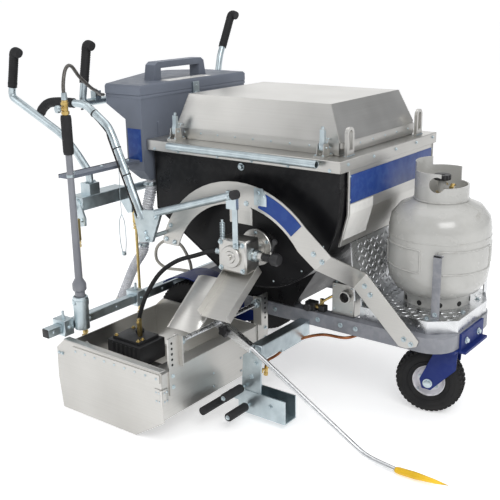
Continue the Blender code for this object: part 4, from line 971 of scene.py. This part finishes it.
def die_details():
    y = -0.7390
    strip = Piece("die_strip_bolts", "zinc", "die_box")
    for i in range(9):
        strip.rivet((-0.848 + i * 0.043, y - 0.0002, 0.2185), (0, -1, 0), 0.0042)
    for x in (-0.930, -0.915):
        strip.bolt((x, -0.7352, 0.195), (0, -1, 0), 0.0036)
    for z in (0.105, 0.150):
        strip.rivet((-0.4858, -0.500, z), (1, 0, 0), 0.0040)
        strip.rivet((-0.4858, -0.360, z), (1, 0, 0), 0.0040)
    strip.done()
    hinge = Piece("die_hinge", "stainless", "die_box")
    hinge.box((-0.5150, -0.7374, 0.1350), (-0.4890, -0.7352, 0.1850), 0.0006)
    hinge.lathe([(0, 0), (0.0045, 0), (0.0045, 0.052), (0, 0.052)], (-0.4862, -0.7395, 0.134), (0, 0, 1), 14)
    hinge.box((-0.4858, -0.7370, 0.1350), (-0.4838, -0.7110, 0.1850), 0.0006)
    hinge.done()
    pins = Piece("hinge_screws", "zinc", "die_box")
    for z in (0.146, 0.174):
        for x in (-0.508, -0.496):
            pins.rivet((x, -0.7375, z), (0, -1, 0), 0.0034)
        for yy in (-0.728, -0.717):
            pins.rivet((-0.4837, yy, z), (1, 0, 0), 0.0034)
    pins.done()
    brackets = Piece("bracket_bolts", "zinc", "die_box")
    # Thin near-black discs on the bracket: painted shade in place of real holes.
    hole_shade = Piece("bracket_hole_shade", "dark_hole", "die_box")
    for yy in (-0.690, -0.230):
        for z in (0.180, 0.215):
            brackets.bolt((-0.4818, yy, z), (1, 0, 0), 0.0040)
        for k in range(5):
            hole_shade.lathe([(0, 0), (0.0042, 0), (0.0042, 0.0004), (0, 0.0004)],
                        (-0.4819, yy, 0.250 + k * 0.017), (1, 0, 0), 16)
    brackets.done()
    hole_shade.done()
    collars = Piece("bar_collars", "zinc", "die_box")
    for yy, side in ((-0.6515, 1), (-0.2755, -1)):
        collars.lathe([(0.0077, -0.006), (0.0135, -0.006), (0.0140, -0.005), (0.0140, 0.005),
                       (0.0135, 0.006), (0.0077, 0.006)], (-0.4841, yy + side * 0.004, 0.3125), (0, 1, 0), 24,
                      True)
        collars.bolt((-0.4841, yy + side * 0.004, 0.3262), (0, 0, 1), 0.0026)
    collars.done()
    # Thin near-black rings round the bar: painted shade in place of cut grooves.
    marks = Piece("bar_groove_shade", "dark_hole", "die_box")
    for k in range(14):
        yy = -0.630 + k * 0.0246
        if abs(yy + 0.470) < 0.018:
            continue
        marks.lathe([(0.00752, -0.0006), (0.00762, -0.0006), (0.00762, 0.0006), (0.00752, 0.0006)],
                    (-0.4841, yy, 0.3125), (0, 1, 0), 24, True)
    marks.done()
    block = Piece("die_block_ribbed", "black_plastic", "die_box", ("die_block",))
    block.box((-0.895, -0.560, 0.1203), (-0.745, -0.440, 0.1900), 0.0030)
    block.box((-0.880, -0.548, 0.1880), (-0.760, -0.452, 0.2010), 0.0030)
    for k in range(6):
        x = -0.872 + k * 0.0200
        block.box((x, -0.5640, 0.1280), (x + 0.0080, -0.5590, 0.1840), 0.0012)
        block.box((x, -0.4410, 0.1280), (x + 0.0080, -0.4360, 0.1840), 0.0012)
    block.lathe([(0, 0), (0.0150, 0), (0.0150, 0.008), (0.0105, 0.011), (0.0105, 0.0150), (0, 0.0152)],
                (-0.828, -0.472, 0.2005), (0, 0, 1), 20)
    block.done()
    top = Piece("die_block_hardware", "yellow_zinc", "die_box")
    top.box((-0.8060, -0.5060, 0.2000), (-0.7940, -0.4940, 0.2620), 0.0010)
    top.bolt((-0.800, -0.5062, 0.2500), (0, -1, 0), 0.0040)
    for x, yy in ((-0.870, -0.540), (-0.770, -0.540), (-0.870, -0.460), (-0.770, -0.520)):
        top.bolt((x, yy, 0.2012), (0, 0, 1), 0.0045)
    top.done()
    rods = Piece("rod_lock_nuts", "yellow_zinc", "die_box")
    for yy in (-0.590, -0.325):
        for z in (0.205, 0.216, 0.505, 0.516):
            rods.lathe([(0.0052, 0), (0.0098, 0), (0.0098, 0.0075), (0.0052, 0.0075)], (-0.965, yy, z),
                       (0, 0, 1), 6, True)
        rods.bolt((-0.965, yy - 0.0092, 0.585), (0, -1, 0), 0.0045)
    rods.done()
    seam = Piece("die_plate_folds", "stainless", "die_box")
    seam.prism([(-0.9030, 0.2450), (-0.4890, 0.2390), (-0.4890, 0.2420), (-0.9030, 0.2480)], "XZ", -0.7370,
               -0.7130, 0.0005)
    seam.done()
    inner = Piece("die_inner_slope", "stainless", "die_box")
    inner.prism([(-0.905, 0.205), (-0.900, 0.209), (-0.8990, 0.208), (-0.7200, 0.100), (-0.7230, 0.098)],
                "XZ", -0.7290, -0.6430, 0.0005)
    inner.done()


# ---------------------------------------------------------------- gas cylinder, deck and frame

def tank_details():
    at = Vector((0.0, 0.049, 0.0))
    beads = Piece("cylinder_beads", "tank_white")

    def wrap(angle, z, out=0.1588):
        a = math.radians(angle)
        return at + Vector((out * math.cos(a), out * math.sin(a), z))

    def frame_bead(first, last, low, high):
        path = []
        corners = ((first, low), (last, low), (last, high), (first, high))
        for (a0, z0), (a1, z1) in zip(corners, corners[1:] + corners[:1]):
            for k in range(14):
                t = k / 14
                path.append(wrap(a0 + (a1 - a0) * t, z0 + (z1 - z0) * t))
        path.append(path[0])
        path.append(path[1])
        soft = []
        count = len(path)
        for i in range(count):
            soft.append((path[max(i - 1, 0)] + path[i] * 2 + path[min(i + 1, count - 1)]) / 4)
        beads.tube(soft[1:], 0.0034, 10)
    frame_bead(-66, 8, 0.463, 0.535)
    frame_bead(-150, -86, 0.463, 0.535)
    frame_bead(28, 92, 0.463, 0.535)
    beads.lathe([(0.1584, 0.5550), (0.1598, 0.5560), (0.1602, 0.5580), (0.1598, 0.5600), (0.1584, 0.5610)],
                at, (0, 0, 1), 72, True)
    beads.lathe([(0.0828, 0.6650), (0.0862, 0.6655), (0.0868, 0.6675), (0.0852, 0.6695), (0.0828, 0.6700)],
                at, (0, 0, 1), 48, True)
    beads.lathe([(0.1035, 0.3670), (0.1080, 0.3690), (0.1085, 0.3715), (0.1035, 0.3725)], at, (0, 0, 1), 64,
                True)
    beads.done(60.0)
    # Thin near-black discs on the foot ring: painted shade in place of real holes.
    hole_shade = Piece("foot_ring_hole_shade", "dark_hole")
    for angle in range(0, 360, 36):
        a = math.radians(angle + 12)
        out = Vector((math.cos(a), math.sin(a), 0))
        hole_shade.lathe([(0, 0), (0.0085, 0), (0.0085, 0.0006), (0, 0.0006)],
                    at + out * 0.1043 + Vector((0, 0, 0.3470)),
                    out, 18)
    hole_shade.done()
    brass = Piece("cylinder_valve_brass", "brass")
    brass.lathe([(0.0131, 0.6720), (0.0200, 0.6720), (0.0200, 0.6860), (0.0131, 0.6860)], at, (0, 0, 1), 6,
                True)
    brass.lathe([(0.0095, 0.0), (0.0150, 0.0), (0.0150, 0.012), (0.0095, 0.012)], (0.030, 0.049, 0.700),
                (1, 0, 0), 6, True)
    brass.lathe([(0, 0), (0.0105, 0), (0.0110, 0.004), (0.0095, 0.018), (0, 0.019)], (-0.002, 0.062, 0.700),
                (0, 1, 0), 16)
    brass.done()
    wheel = Piece("handwheel_spokes", "black_plastic", "cylinder_handwheel", ("cylinder_handwheel",))
    rim = [(0.0255 + 0.0014 * math.cos(k * math.pi * 12 / 36), k) for k in range(72)]
    outline = [(r * math.cos(2 * math.pi * k / 72), r * math.sin(2 * math.pi * k / 72) + at.y)
               for r, k in rim]
    wheel.prism(outline, "XY", 0.7243, 0.7400, 0.0016)
    wheel.lathe([(0, 0), (0.0085, 0), (0.0085, 0.0020), (0.0050, 0.0027), (0, 0.0027)],
                at + Vector((0, 0, 0.7395)),
                (0, 0, 1), 20)
    wheel.done()


def deck_details():
    bars = Piece("tread_bars", "tread_plate")

    def lens(at, across, up, out):
        """One raised bar of the tread pattern."""
        ring = []
        for k in range(10):
            a = 2 * math.pi * k / 10
            ring.append(at + across * 0.0115 * math.cos(a) + up * 0.0030 * math.sin(a))
        crown = [at + (p - at) * 0.62 + out * 0.0013 for p in ring]
        bars.rings([[p - out * 0.0003 for p in ring], ring, crown])

    def field(corner, along, rise, columns, rows, keep):
        along, rise = Vector(along).normalized(), Vector(rise).normalized()
        out = along.cross(rise).normalized()
        if out.dot(Vector((0.5, -0.6, 0.6))) < 0:
            out = -out
        for i in range(columns):
            for j in range(rows):
                spot = Vector(corner) + along * (i * 0.0200) + rise * (j * 0.0200)
                if not keep(spot):
                    continue
                sign = 1 if (i + j) % 2 else -1
                across = (along + rise * sign).normalized()
                lens(spot, across, out.cross(across), out)

    def on_deck(p):
        if math.hypot(p.x, p.y - 0.049) < 0.122:
            return False
        if 0.050 < p.x < 0.095 and -0.125 < p.y < -0.095:
            return False
        right = 0.052 if p.y < -0.140 else 0.130 - max(0.0, (-0.095 - p.y) * 1.25)
        if p.y > 0.120:
            right = 0.128 - (p.y - 0.120) * 0.47
        return -0.150 < p.x < right and -0.146 < p.y < 0.206
    field((-0.146, -0.142, 0.3331), (1, 0, 0), (0, 1, 0), 15, 19, on_deck)
    low, high = Vector((-0.1608, 0.0, 0.331)), Vector((-0.1830, 0.0, 0.548))
    rise = (high - low).normalized()
    start = low + rise * 0.018 + Vector((0.0003, -0.142, 0))
    field(start, (0, 1, 0), rise, 18, 10, lambda p: True)
    bars.done(50.0)
    bolts = Piece("deck_bolts", "zinc")
    for x, y in ((-0.148, -0.130), (0.052, -0.132), (0.120, -0.020), (0.112, 0.110)):
        bolts.bolt((x, y, 0.3331), (0, 0, 1), 0.0052)
    for y in (-0.060, 0.030):
        bolts.bolt((0.1532, y, 0.262), (1, 0, 0), 0.0068)
    bolts.bolt((0.0725, -0.1187, 0.345), (0, -1, 0), 0.0048)
    bolts.done()
    strap = Piece("cylinder_strap", "frame_grey")
    strap.box((0.0594, -0.1191, 0.3340), (0.0856, -0.1139, 0.5306), 0.0008)
    strap.box((0.0594, -0.1191, 0.5254), (0.0856, -0.1034, 0.5306), 0.0008)
    strap.done()
    trim = Piece("deck_edge_trim", "tread_plate")
    for k in range(7):
        x = -0.140 + k * 0.029
        z = 0.006 * (k % 2)
        base = [(x - 0.010, 0.306 + z), (x + 0.008, 0.318), (x + 0.010, 0.314), (x - 0.008, 0.302 + z)]
        crest = [(x - 0.008, 0.306 + z), (x + 0.006, 0.317), (x + 0.008, 0.314), (x - 0.006, 0.303 + z)]
        trim.rings([[Vector((u, -0.1551, v)) for u, v in base], [Vector((u, -0.1563, v)) for u, v in crest]])
    trim.done()


def frame_details():
    bolts = Piece("frame_bolts", "zinc")
    for x in (-0.530, -0.470, -0.300, -0.215, -0.160):
        bolts.bolt((x, -0.1902, 0.270), (0, -1, 0), 0.0050)
    for x in (-0.530, -0.400, -0.200, 0.020):
        bolts.bolt((x, 0.1902, 0.270), (0, 1, 0), 0.0050)
    for x, y in ((-0.250, -0.157), (-0.195, -0.157)):
        bolts.bolt((x, y, 0.4001), (0, 0, 1), 0.0036)
    for x in (-0.252, -0.190):
        for z in (0.312, 0.390):
            bolts.rivet((x, -0.1662, z), (0, -1, 0), 0.0030)
    bolts.done()
    # A thin near-black disc at the burner: painted shade in place of its open throat.
    throat_shade = Piece("burner_throat_shade", "dark_hole")
    throat_shade.lathe([(0, 0), (0.0158, 0), (0.0158, 0.0008), (0, 0.0008)], (-0.207, -0.1660, 0.362), (0, -1, 0),
                 24)
    throat_shade.done()
    igniter = Piece("igniter_box", "black_plastic")
    igniter.box((-0.352, -0.187, 0.2935), (-0.316, -0.158, 0.322), 0.0020)
    igniter.lathe([(0, 0), (0.012, 0), (0.0135, 0.003), (0.0135, 0.014), (0.011, 0.017), (0, 0.017)],
                  (-0.334, -0.187, 0.3085), (0, -1, 0), 18)
    igniter.box((-0.306, -0.180, 0.2935), (-0.283, -0.156, 0.314), 0.0020)
    igniter.done()
    line = Piece("gas_line", "brass")
    line.tube(round_path([(-0.316, -0.172, 0.308), (-0.306, -0.172, 0.312), (-0.290, -0.172, 0.330),
                          (-0.270, -0.168, 0.345), (-0.2625, -0.160, 0.350)], 6), 0.0042, 10)
    line.lathe([(0, 0), (0.0080, 0), (0.0080, 0.010), (0, 0.010)], (-0.316, -0.172, 0.308), (1, 0, 0), 6)
    line.lathe([(0, 0), (0.0075, 0), (0.0075, 0.020), (0, 0.020)], (-0.3000, -0.165, 0.3140), (0, 0, 1), 6)
    line.done()
    copper = Piece("gas_supply_pipe", "copper")
    copper.tube(round_path([(-0.160, -0.1500, 0.240), (-0.190, -0.200, 0.236), (-0.274, -0.215, 0.232),
                            (-0.367, -0.235, 0.192), (-0.424, -0.245, 0.135), (-0.457, -0.250, 0.109),
                            (-0.462, -0.250, 0.092)], 10), 0.0048, 10)
    copper.done()
    tap = Piece("supply_tap", "brass")
    tap.lathe([(0, 0), (0.0085, 0), (0.0085, 0.014), (0.0065, 0.016), (0.0065, 0.030), (0.0085, 0.032),
               (0.0085, 0.042), (0, 0.042)], (-0.462, -0.250, 0.094), (-0.15, 0, -1), 6)
    tap.lathe([(0, 0), (0.0045, 0), (0.0045, 0.016), (0.0120, 0.018), (0.0120, 0.024), (0, 0.025)],
              (-0.466, -0.250, 0.075), (-0.4, -0.9, 0), 16)
    tap.done()
    loop = Piece("drain_pipe_loop", "pipe_beige")
    loop.tube(round_path([(-0.905, -0.110, 0.2935), (-0.915, -0.110, 0.340), (-0.960, -0.105, 0.392),
                          (-1.030, -0.100, 0.398), (-1.085, -0.100, 0.360), (-1.090, -0.100, 0.310),
                          (-1.045, -0.100, 0.286), (-0.980, -0.100, 0.290), (-0.930, -0.100, 0.2935)], 10),
              0.0060, 12)
    loop.done()
    welds = Piece("frame_welds", "frame_grey")
    for x in (-0.600, -0.550):
        for y0, y1 in ((-0.190, -0.150), (0.150, 0.190)):
            path = [Vector((x, y0 + (y1 - y0) * k / 16, 0.2932)) for k in range(17)]
            welds.tube(path, [0.0018 + 0.0006 * math.sin(k * 2.1) for k in range(17)], 8)
    welds.done()


# ---------------------------------------------------------------- wheels

def knobby_tyre(name, node, body, at, axis, radius, half, inner):
    """A pneumatic tyre with blocks round its tread, in place of the plain one."""
    at, axis = Vector(at), Vector(axis).normalized()
    base = radius - 0.0042
    piece = Piece(name, "tyre", body, (node,))
    profile = [(inner, -half * 0.70), (inner + 0.006, -half * 0.86),
               (inner + (base - inner) * 0.45, -half * 0.985),
               (inner + (base - inner) * 0.70, -half * 0.97), (base - 0.004, -half * 0.80),
               (base, -half * 0.50), (base + 0.0006, 0.0), (base, half * 0.50), (base - 0.004, half * 0.80),
               (inner + (base - inner) * 0.70, half * 0.97), (inner + (base - inner) * 0.45, half * 0.985),
               (inner + 0.006, half * 0.86), (inner, half * 0.70)]
    piece.lathe(profile, at, axis, 72, True)
    side = axis.orthogonal().normalized()
    other = axis.cross(side)
    count = int(2 * math.pi * radius / 0.0165)
    rows = ((-0.70, 0.0), (-0.36, 0.5), (0.0, 0.0), (0.36, 0.5), (0.70, 0.0))
    for share, shift in rows:
        drop = 0.0 if abs(share) < 0.5 else 0.0040
        for k in range(count):
            a = 2 * math.pi * (k + shift) / count
            out = side * math.cos(a) + other * math.sin(a)
            run = other * math.cos(a) - side * math.sin(a)
            foot = at + out * (base - drop - 0.0035) + axis * half * share
            top = at + out * (radius - drop - 0.0003) + axis * half * share
            w, d = half * 0.145, 0.0052
            corners = ((-1, -1), (1, -1), (1, 1), (-1, 1))
            low = [foot + axis * (w * u) * 1.1 + run * (d * v) * 1.1 for u, v in corners]
            high = [top + axis * (w * u) * 0.86 + run * (d * v) * 0.86 for u, v in corners]
            piece.rings([low, high])
    for sign in (-1, 1):
        for r in (inner + (base - inner) * 0.28, inner + (base - inner) * 0.62):
            piece.lathe([(r - 0.0012, 0), (r, 0.0012), (r + 0.0012, 0)],
                        at + axis * sign * half * 0.955, axis * sign, 64, True)
    piece.done(45.0)


def wheel_details():
    yaw = math.radians(14.0)
    across = Vector((math.sin(yaw), -math.cos(yaw), 0))
    at = Vector((0.042, -0.062, 0.108))
    knobby_tyre("caster_tyre_knobby", "caster_tyre", "caster_wheel", at, across, 0.1075, 0.035, 0.0520)
    rim = Piece("caster_rim_bolts", "zinc", "caster_wheel")
    side = across.orthogonal().normalized()
    other = across.cross(side)
    for sign in (-1, 1):
        for k in range(5):
            a = 2 * math.pi * k / 5 + 0.3
            spot = at + (side * math.cos(a) + other * math.sin(a)) * 0.0315 + across * sign * 0.0102
            rim.bolt(spot, across * sign, 0.0036)
    valve = at + side * 0.046 + across * 0.016
    rim.lathe([(0, 0), (0.0026, 0), (0.0026, 0.012), (0.0018, 0.016), (0, 0.016)], valve, across, 10)
    rim.done()
    lip = Piece("caster_rim_lips", "rim_white", "caster_wheel")
    for sign in (-1, 1):
        lip.lathe([(0.0470, 0.0195), (0.0514, 0.0240), (0.0516, 0.0262), (0.0498, 0.0268),
                   (0.0462, 0.0225)], at,
                  across * sign, 48, True)
    lip.done()
    fork = Piece("caster_axle_nuts", "zinc", "caster_fork")
    for sign in (-1, 1):
        fork.lathe([(0.0, 0.0), (0.0150, 0.0), (0.0150, 0.0016), (0, 0.0016)], at + across * sign * 0.0452,
                   across * sign, 24)
        fork.lathe([(0.0, 0.0), (0.0115, 0.0), (0.0115, 0.0070), (0.0100, 0.0080), (0, 0.0080)],
                   at + across * sign * 0.0466, across * sign, 6)
    fork.done()
    mount = Piece("caster_mount_bolts", "zinc")
    for x, y in ((0.006, -0.100), (0.006, 0.020), (0.125, -0.100), (0.125, 0.020)):
        mount.bolt((x, y, 0.2345), (0, 0, -1), 0.0050)
    mount.done()
    for side_name, y in (("right", -0.206), ("left", 0.206)):
        knobby_tyre(f"rear_tyre_{side_name}", f"rear_wheel_{side_name}", f"rear_wheel_{side_name}",
                    (-0.800, y, 0.157), (0, 1, 0), 0.1565, 0.0425, 0.0780)
        hub = Piece(f"rear_rim_{side_name}", "rim_white", f"rear_wheel_{side_name}")
        hub.lathe([(0.0131, -0.036), (0.0300, -0.036), (0.0330, -0.014), (0.0640, -0.014), (0.0740, -0.026),
                   (0.0785, -0.030), (0.0800, -0.026), (0.0770, 0.0), (0.0800, 0.026), (0.0785, 0.030),
                   (0.0740, 0.026), (0.0640, 0.014), (0.0330, 0.014), (0.0300, 0.036), (0.0131, 0.036)],
                  (-0.800, y, 0.157), (0, 1, 0), 48, True)
        for k in range(5):
            a = 2 * math.pi * k / 5
            spot = (-0.800 + 0.048 * math.cos(a), y, 0.157 + 0.048 * math.sin(a))
            for sign in (-1, 1):
                hub.lathe([(0, 0), (0.0065, 0), (0.0065, 0.006), (0.0050, 0.008), (0, 0.008)],
                          (spot[0], y + sign * 0.0140, spot[2]), (0, sign, 0), 6)
        hub.done()


# ---------------------------------------------------------------- toolbar, torch and foot

def toolbar_details():
    bolts = Piece("toolbar_set_screws", "zinc")
    for y in (-0.700, -0.370):
        bolts.bolt((-0.940, y, 0.2992), (0, 0, 1), 0.0052)
        bolts.bolt((-0.9128, y, 0.272), (1, 0, 0), 0.0046)
        bolts.lathe([(0, 0), (0.0042, 0), (0.0042, 0.022), (0.0034, 0.024), (0, 0.024)], (-0.940, y, 0.2992),
                    (0, 0, 1), 12)
    for y in (-0.755, -0.600, -0.480, -0.250):
        bolts.rivet((-0.9248, y, 0.270), (1, 0, 0), 0.0048)
    bolts.done()
    caps = Piece("toolbar_end_caps", "black_plastic")
    caps.box((-0.9540, -0.7765, 0.2560), (-0.9260, -0.7745, 0.2840), 0.0006)
    caps.done()
    hold = Piece("torch_holder_bracket", "zinc")
    hold.prism([(-0.9244, 0.2620), (-0.9000, 0.2620), (-0.9000, 0.2660), (-0.9244, 0.2660)], "XZ", -0.672,
               -0.642, 0.0006)
    hold.lathe([(0.0246, -0.008), (0.0266, -0.008), (0.0266, 0.008), (0.0246, 0.008)],
               (-0.900, -0.657, 0.350),
               (0, 0, 1), 32, True)
    hold.bolt((-0.900, -0.6838, 0.350), (0, -1, 0), 0.0042)
    hold.done()
    torch = Piece("torch_fittings", "brass", "torch")
    at = Vector((-0.900, -0.657, 0.0))
    for low, high, wide in ((0.9480, 0.9570, 0.0125), (0.9760, 0.9840, 0.0118)):
        torch.lathe([(0.0097, low), (wide, low), (wide, high), (0.0097, high)], at, (0, 0, 1), 6, True)
    torch.done()
    ferrule = Piece("torch_hose_ferrule", "zinc", "torch")
    ferrule.lathe([(0.0057, 0.9906), (0.0086, 0.9906), (0.0090, 0.9930), (0.0082, 1.0120),
                   (0.0057, 1.0130)], at,
                  (0, 0, 1), 20, True)
    ferrule.done()
    bands = Piece("torch_pole_bands", "zinc", "torch")
    for z in (0.4350, 0.7550):
        bands.lathe([(0.0107, z), (0.0122, z + 0.001), (0.0122, z + 0.008), (0.0107, z + 0.009)], at,
                    (0, 0, 1),
                    24, True)
    bands.done()


def foot_details():
    rollers = Piece("foot_stop_rollers", "rubber")
    for x, z, y0, y1 in ((-0.385, 0.052, -0.560, -0.470), (-0.400, 0.112, -0.560, -0.4725)):
        length = y1 - y0
        rollers.lathe([(0, 0), (0.0125, 0.0), (0.0138, 0.003), (0.0138, length - 0.003), (0.0125, length),
                       (0, length)], (x, y0, z), (0, 1, 0), 24)
    rollers.done()
    ends = Piece("foot_roller_pins", "zinc")
    for x, z, y0 in ((-0.385, 0.052, -0.560), (-0.400, 0.112, -0.560)):
        ends.bolt((x, y0, z), (0, -1, 0), 0.0045)
        ends.tube([(x, -0.474, z), (x, -0.4560, z)], 0.0052, 12)
    ends.bolt((-0.375, -0.4533, 0.150), (0, -1, 0), 0.0055)
    ends.bolt((-0.355, -0.4533, 0.200), (0, -1, 0), 0.0055)
    ends.bolt((-0.300, -0.4563, 0.070), (0, -1, 0), 0.0046)
    for y in (-0.330, -0.260):
        ends.bolt((-0.385, y, 0.2182), (0, 0, 1), 0.0048)
    ends.bolt((-0.350, -0.4553, 0.236), (0, -1, 0), 0.0055)
    ends.done()


def bar_details():
    sockets = Piece("handlebar_sockets", "zinc")
    for y in (-0.150, 0.150):
        sockets.lathe([(0.0121, 0), (0.0165, 0.0005), (0.0170, 0.003), (0.0170, 0.034), (0.0160, 0.036),
                       (0.0121, 0.036)], (-1.130, y, 0.890), (0, 0, 1), 24, True)
        sockets.bolt((-1.130, y - 0.0172, 0.908), (0, -1, 0), 0.0042)
    for y, out in ((-0.3155, -1), (0.3005, 1)):
        sockets.lathe([(0, 0), (0.0138, 0), (0.0138, 0.002), (0.0110, 0.0045), (0, 0.005)],
                      (-1.000, y, 0.640),
                      (0, out, 0), 24)
    sockets.bolt((-1.130, -0.317, 0.9722), (0, 0, 1), 0.0046)
    sockets.done()
    striker = Piece("spark_striker", "zinc")
    wire = [(-0.955, -0.400, 0.742), (-0.955, -0.400, 0.700), (-0.957, -0.400, 0.640),
            (-0.955, -0.400, 0.575)]
    striker.tube(round_path(wire, 6), 0.0011, 8)
    frame_wire = [(-0.955, -0.400, 0.575), (-0.968, -0.400, 0.545), (-0.969, -0.400, 0.480),
                  (-0.960, -0.400, 0.440), (-0.948, -0.400, 0.440), (-0.941, -0.400, 0.485),
                  (-0.943, -0.400, 0.545), (-0.955, -0.400, 0.575)]
    striker.tube(round_path(frame_wire, 8), 0.0015, 8)
    striker.lathe([(0, 0), (0.0070, 0), (0.0075, 0.003), (0.0075, 0.012), (0, 0.012)],
                  (-0.954, -0.400, 0.430),
                  (0, 0, 1), 16)
    striker.done()


def build():
    camera()
    cords()
    studio()
    dress_nodes()
    kettle_details()
    arch_details()
    valve_details()
    scoop_details()
    lever_details()
    grips()
    hopper_details()
    bead_details()
    die_details()
    tank_details()
    deck_details()
    frame_details()
    wheel_details()
    toolbar_details()
    foot_details()
    bar_details()


build()
bpy.context.view_layer.update()
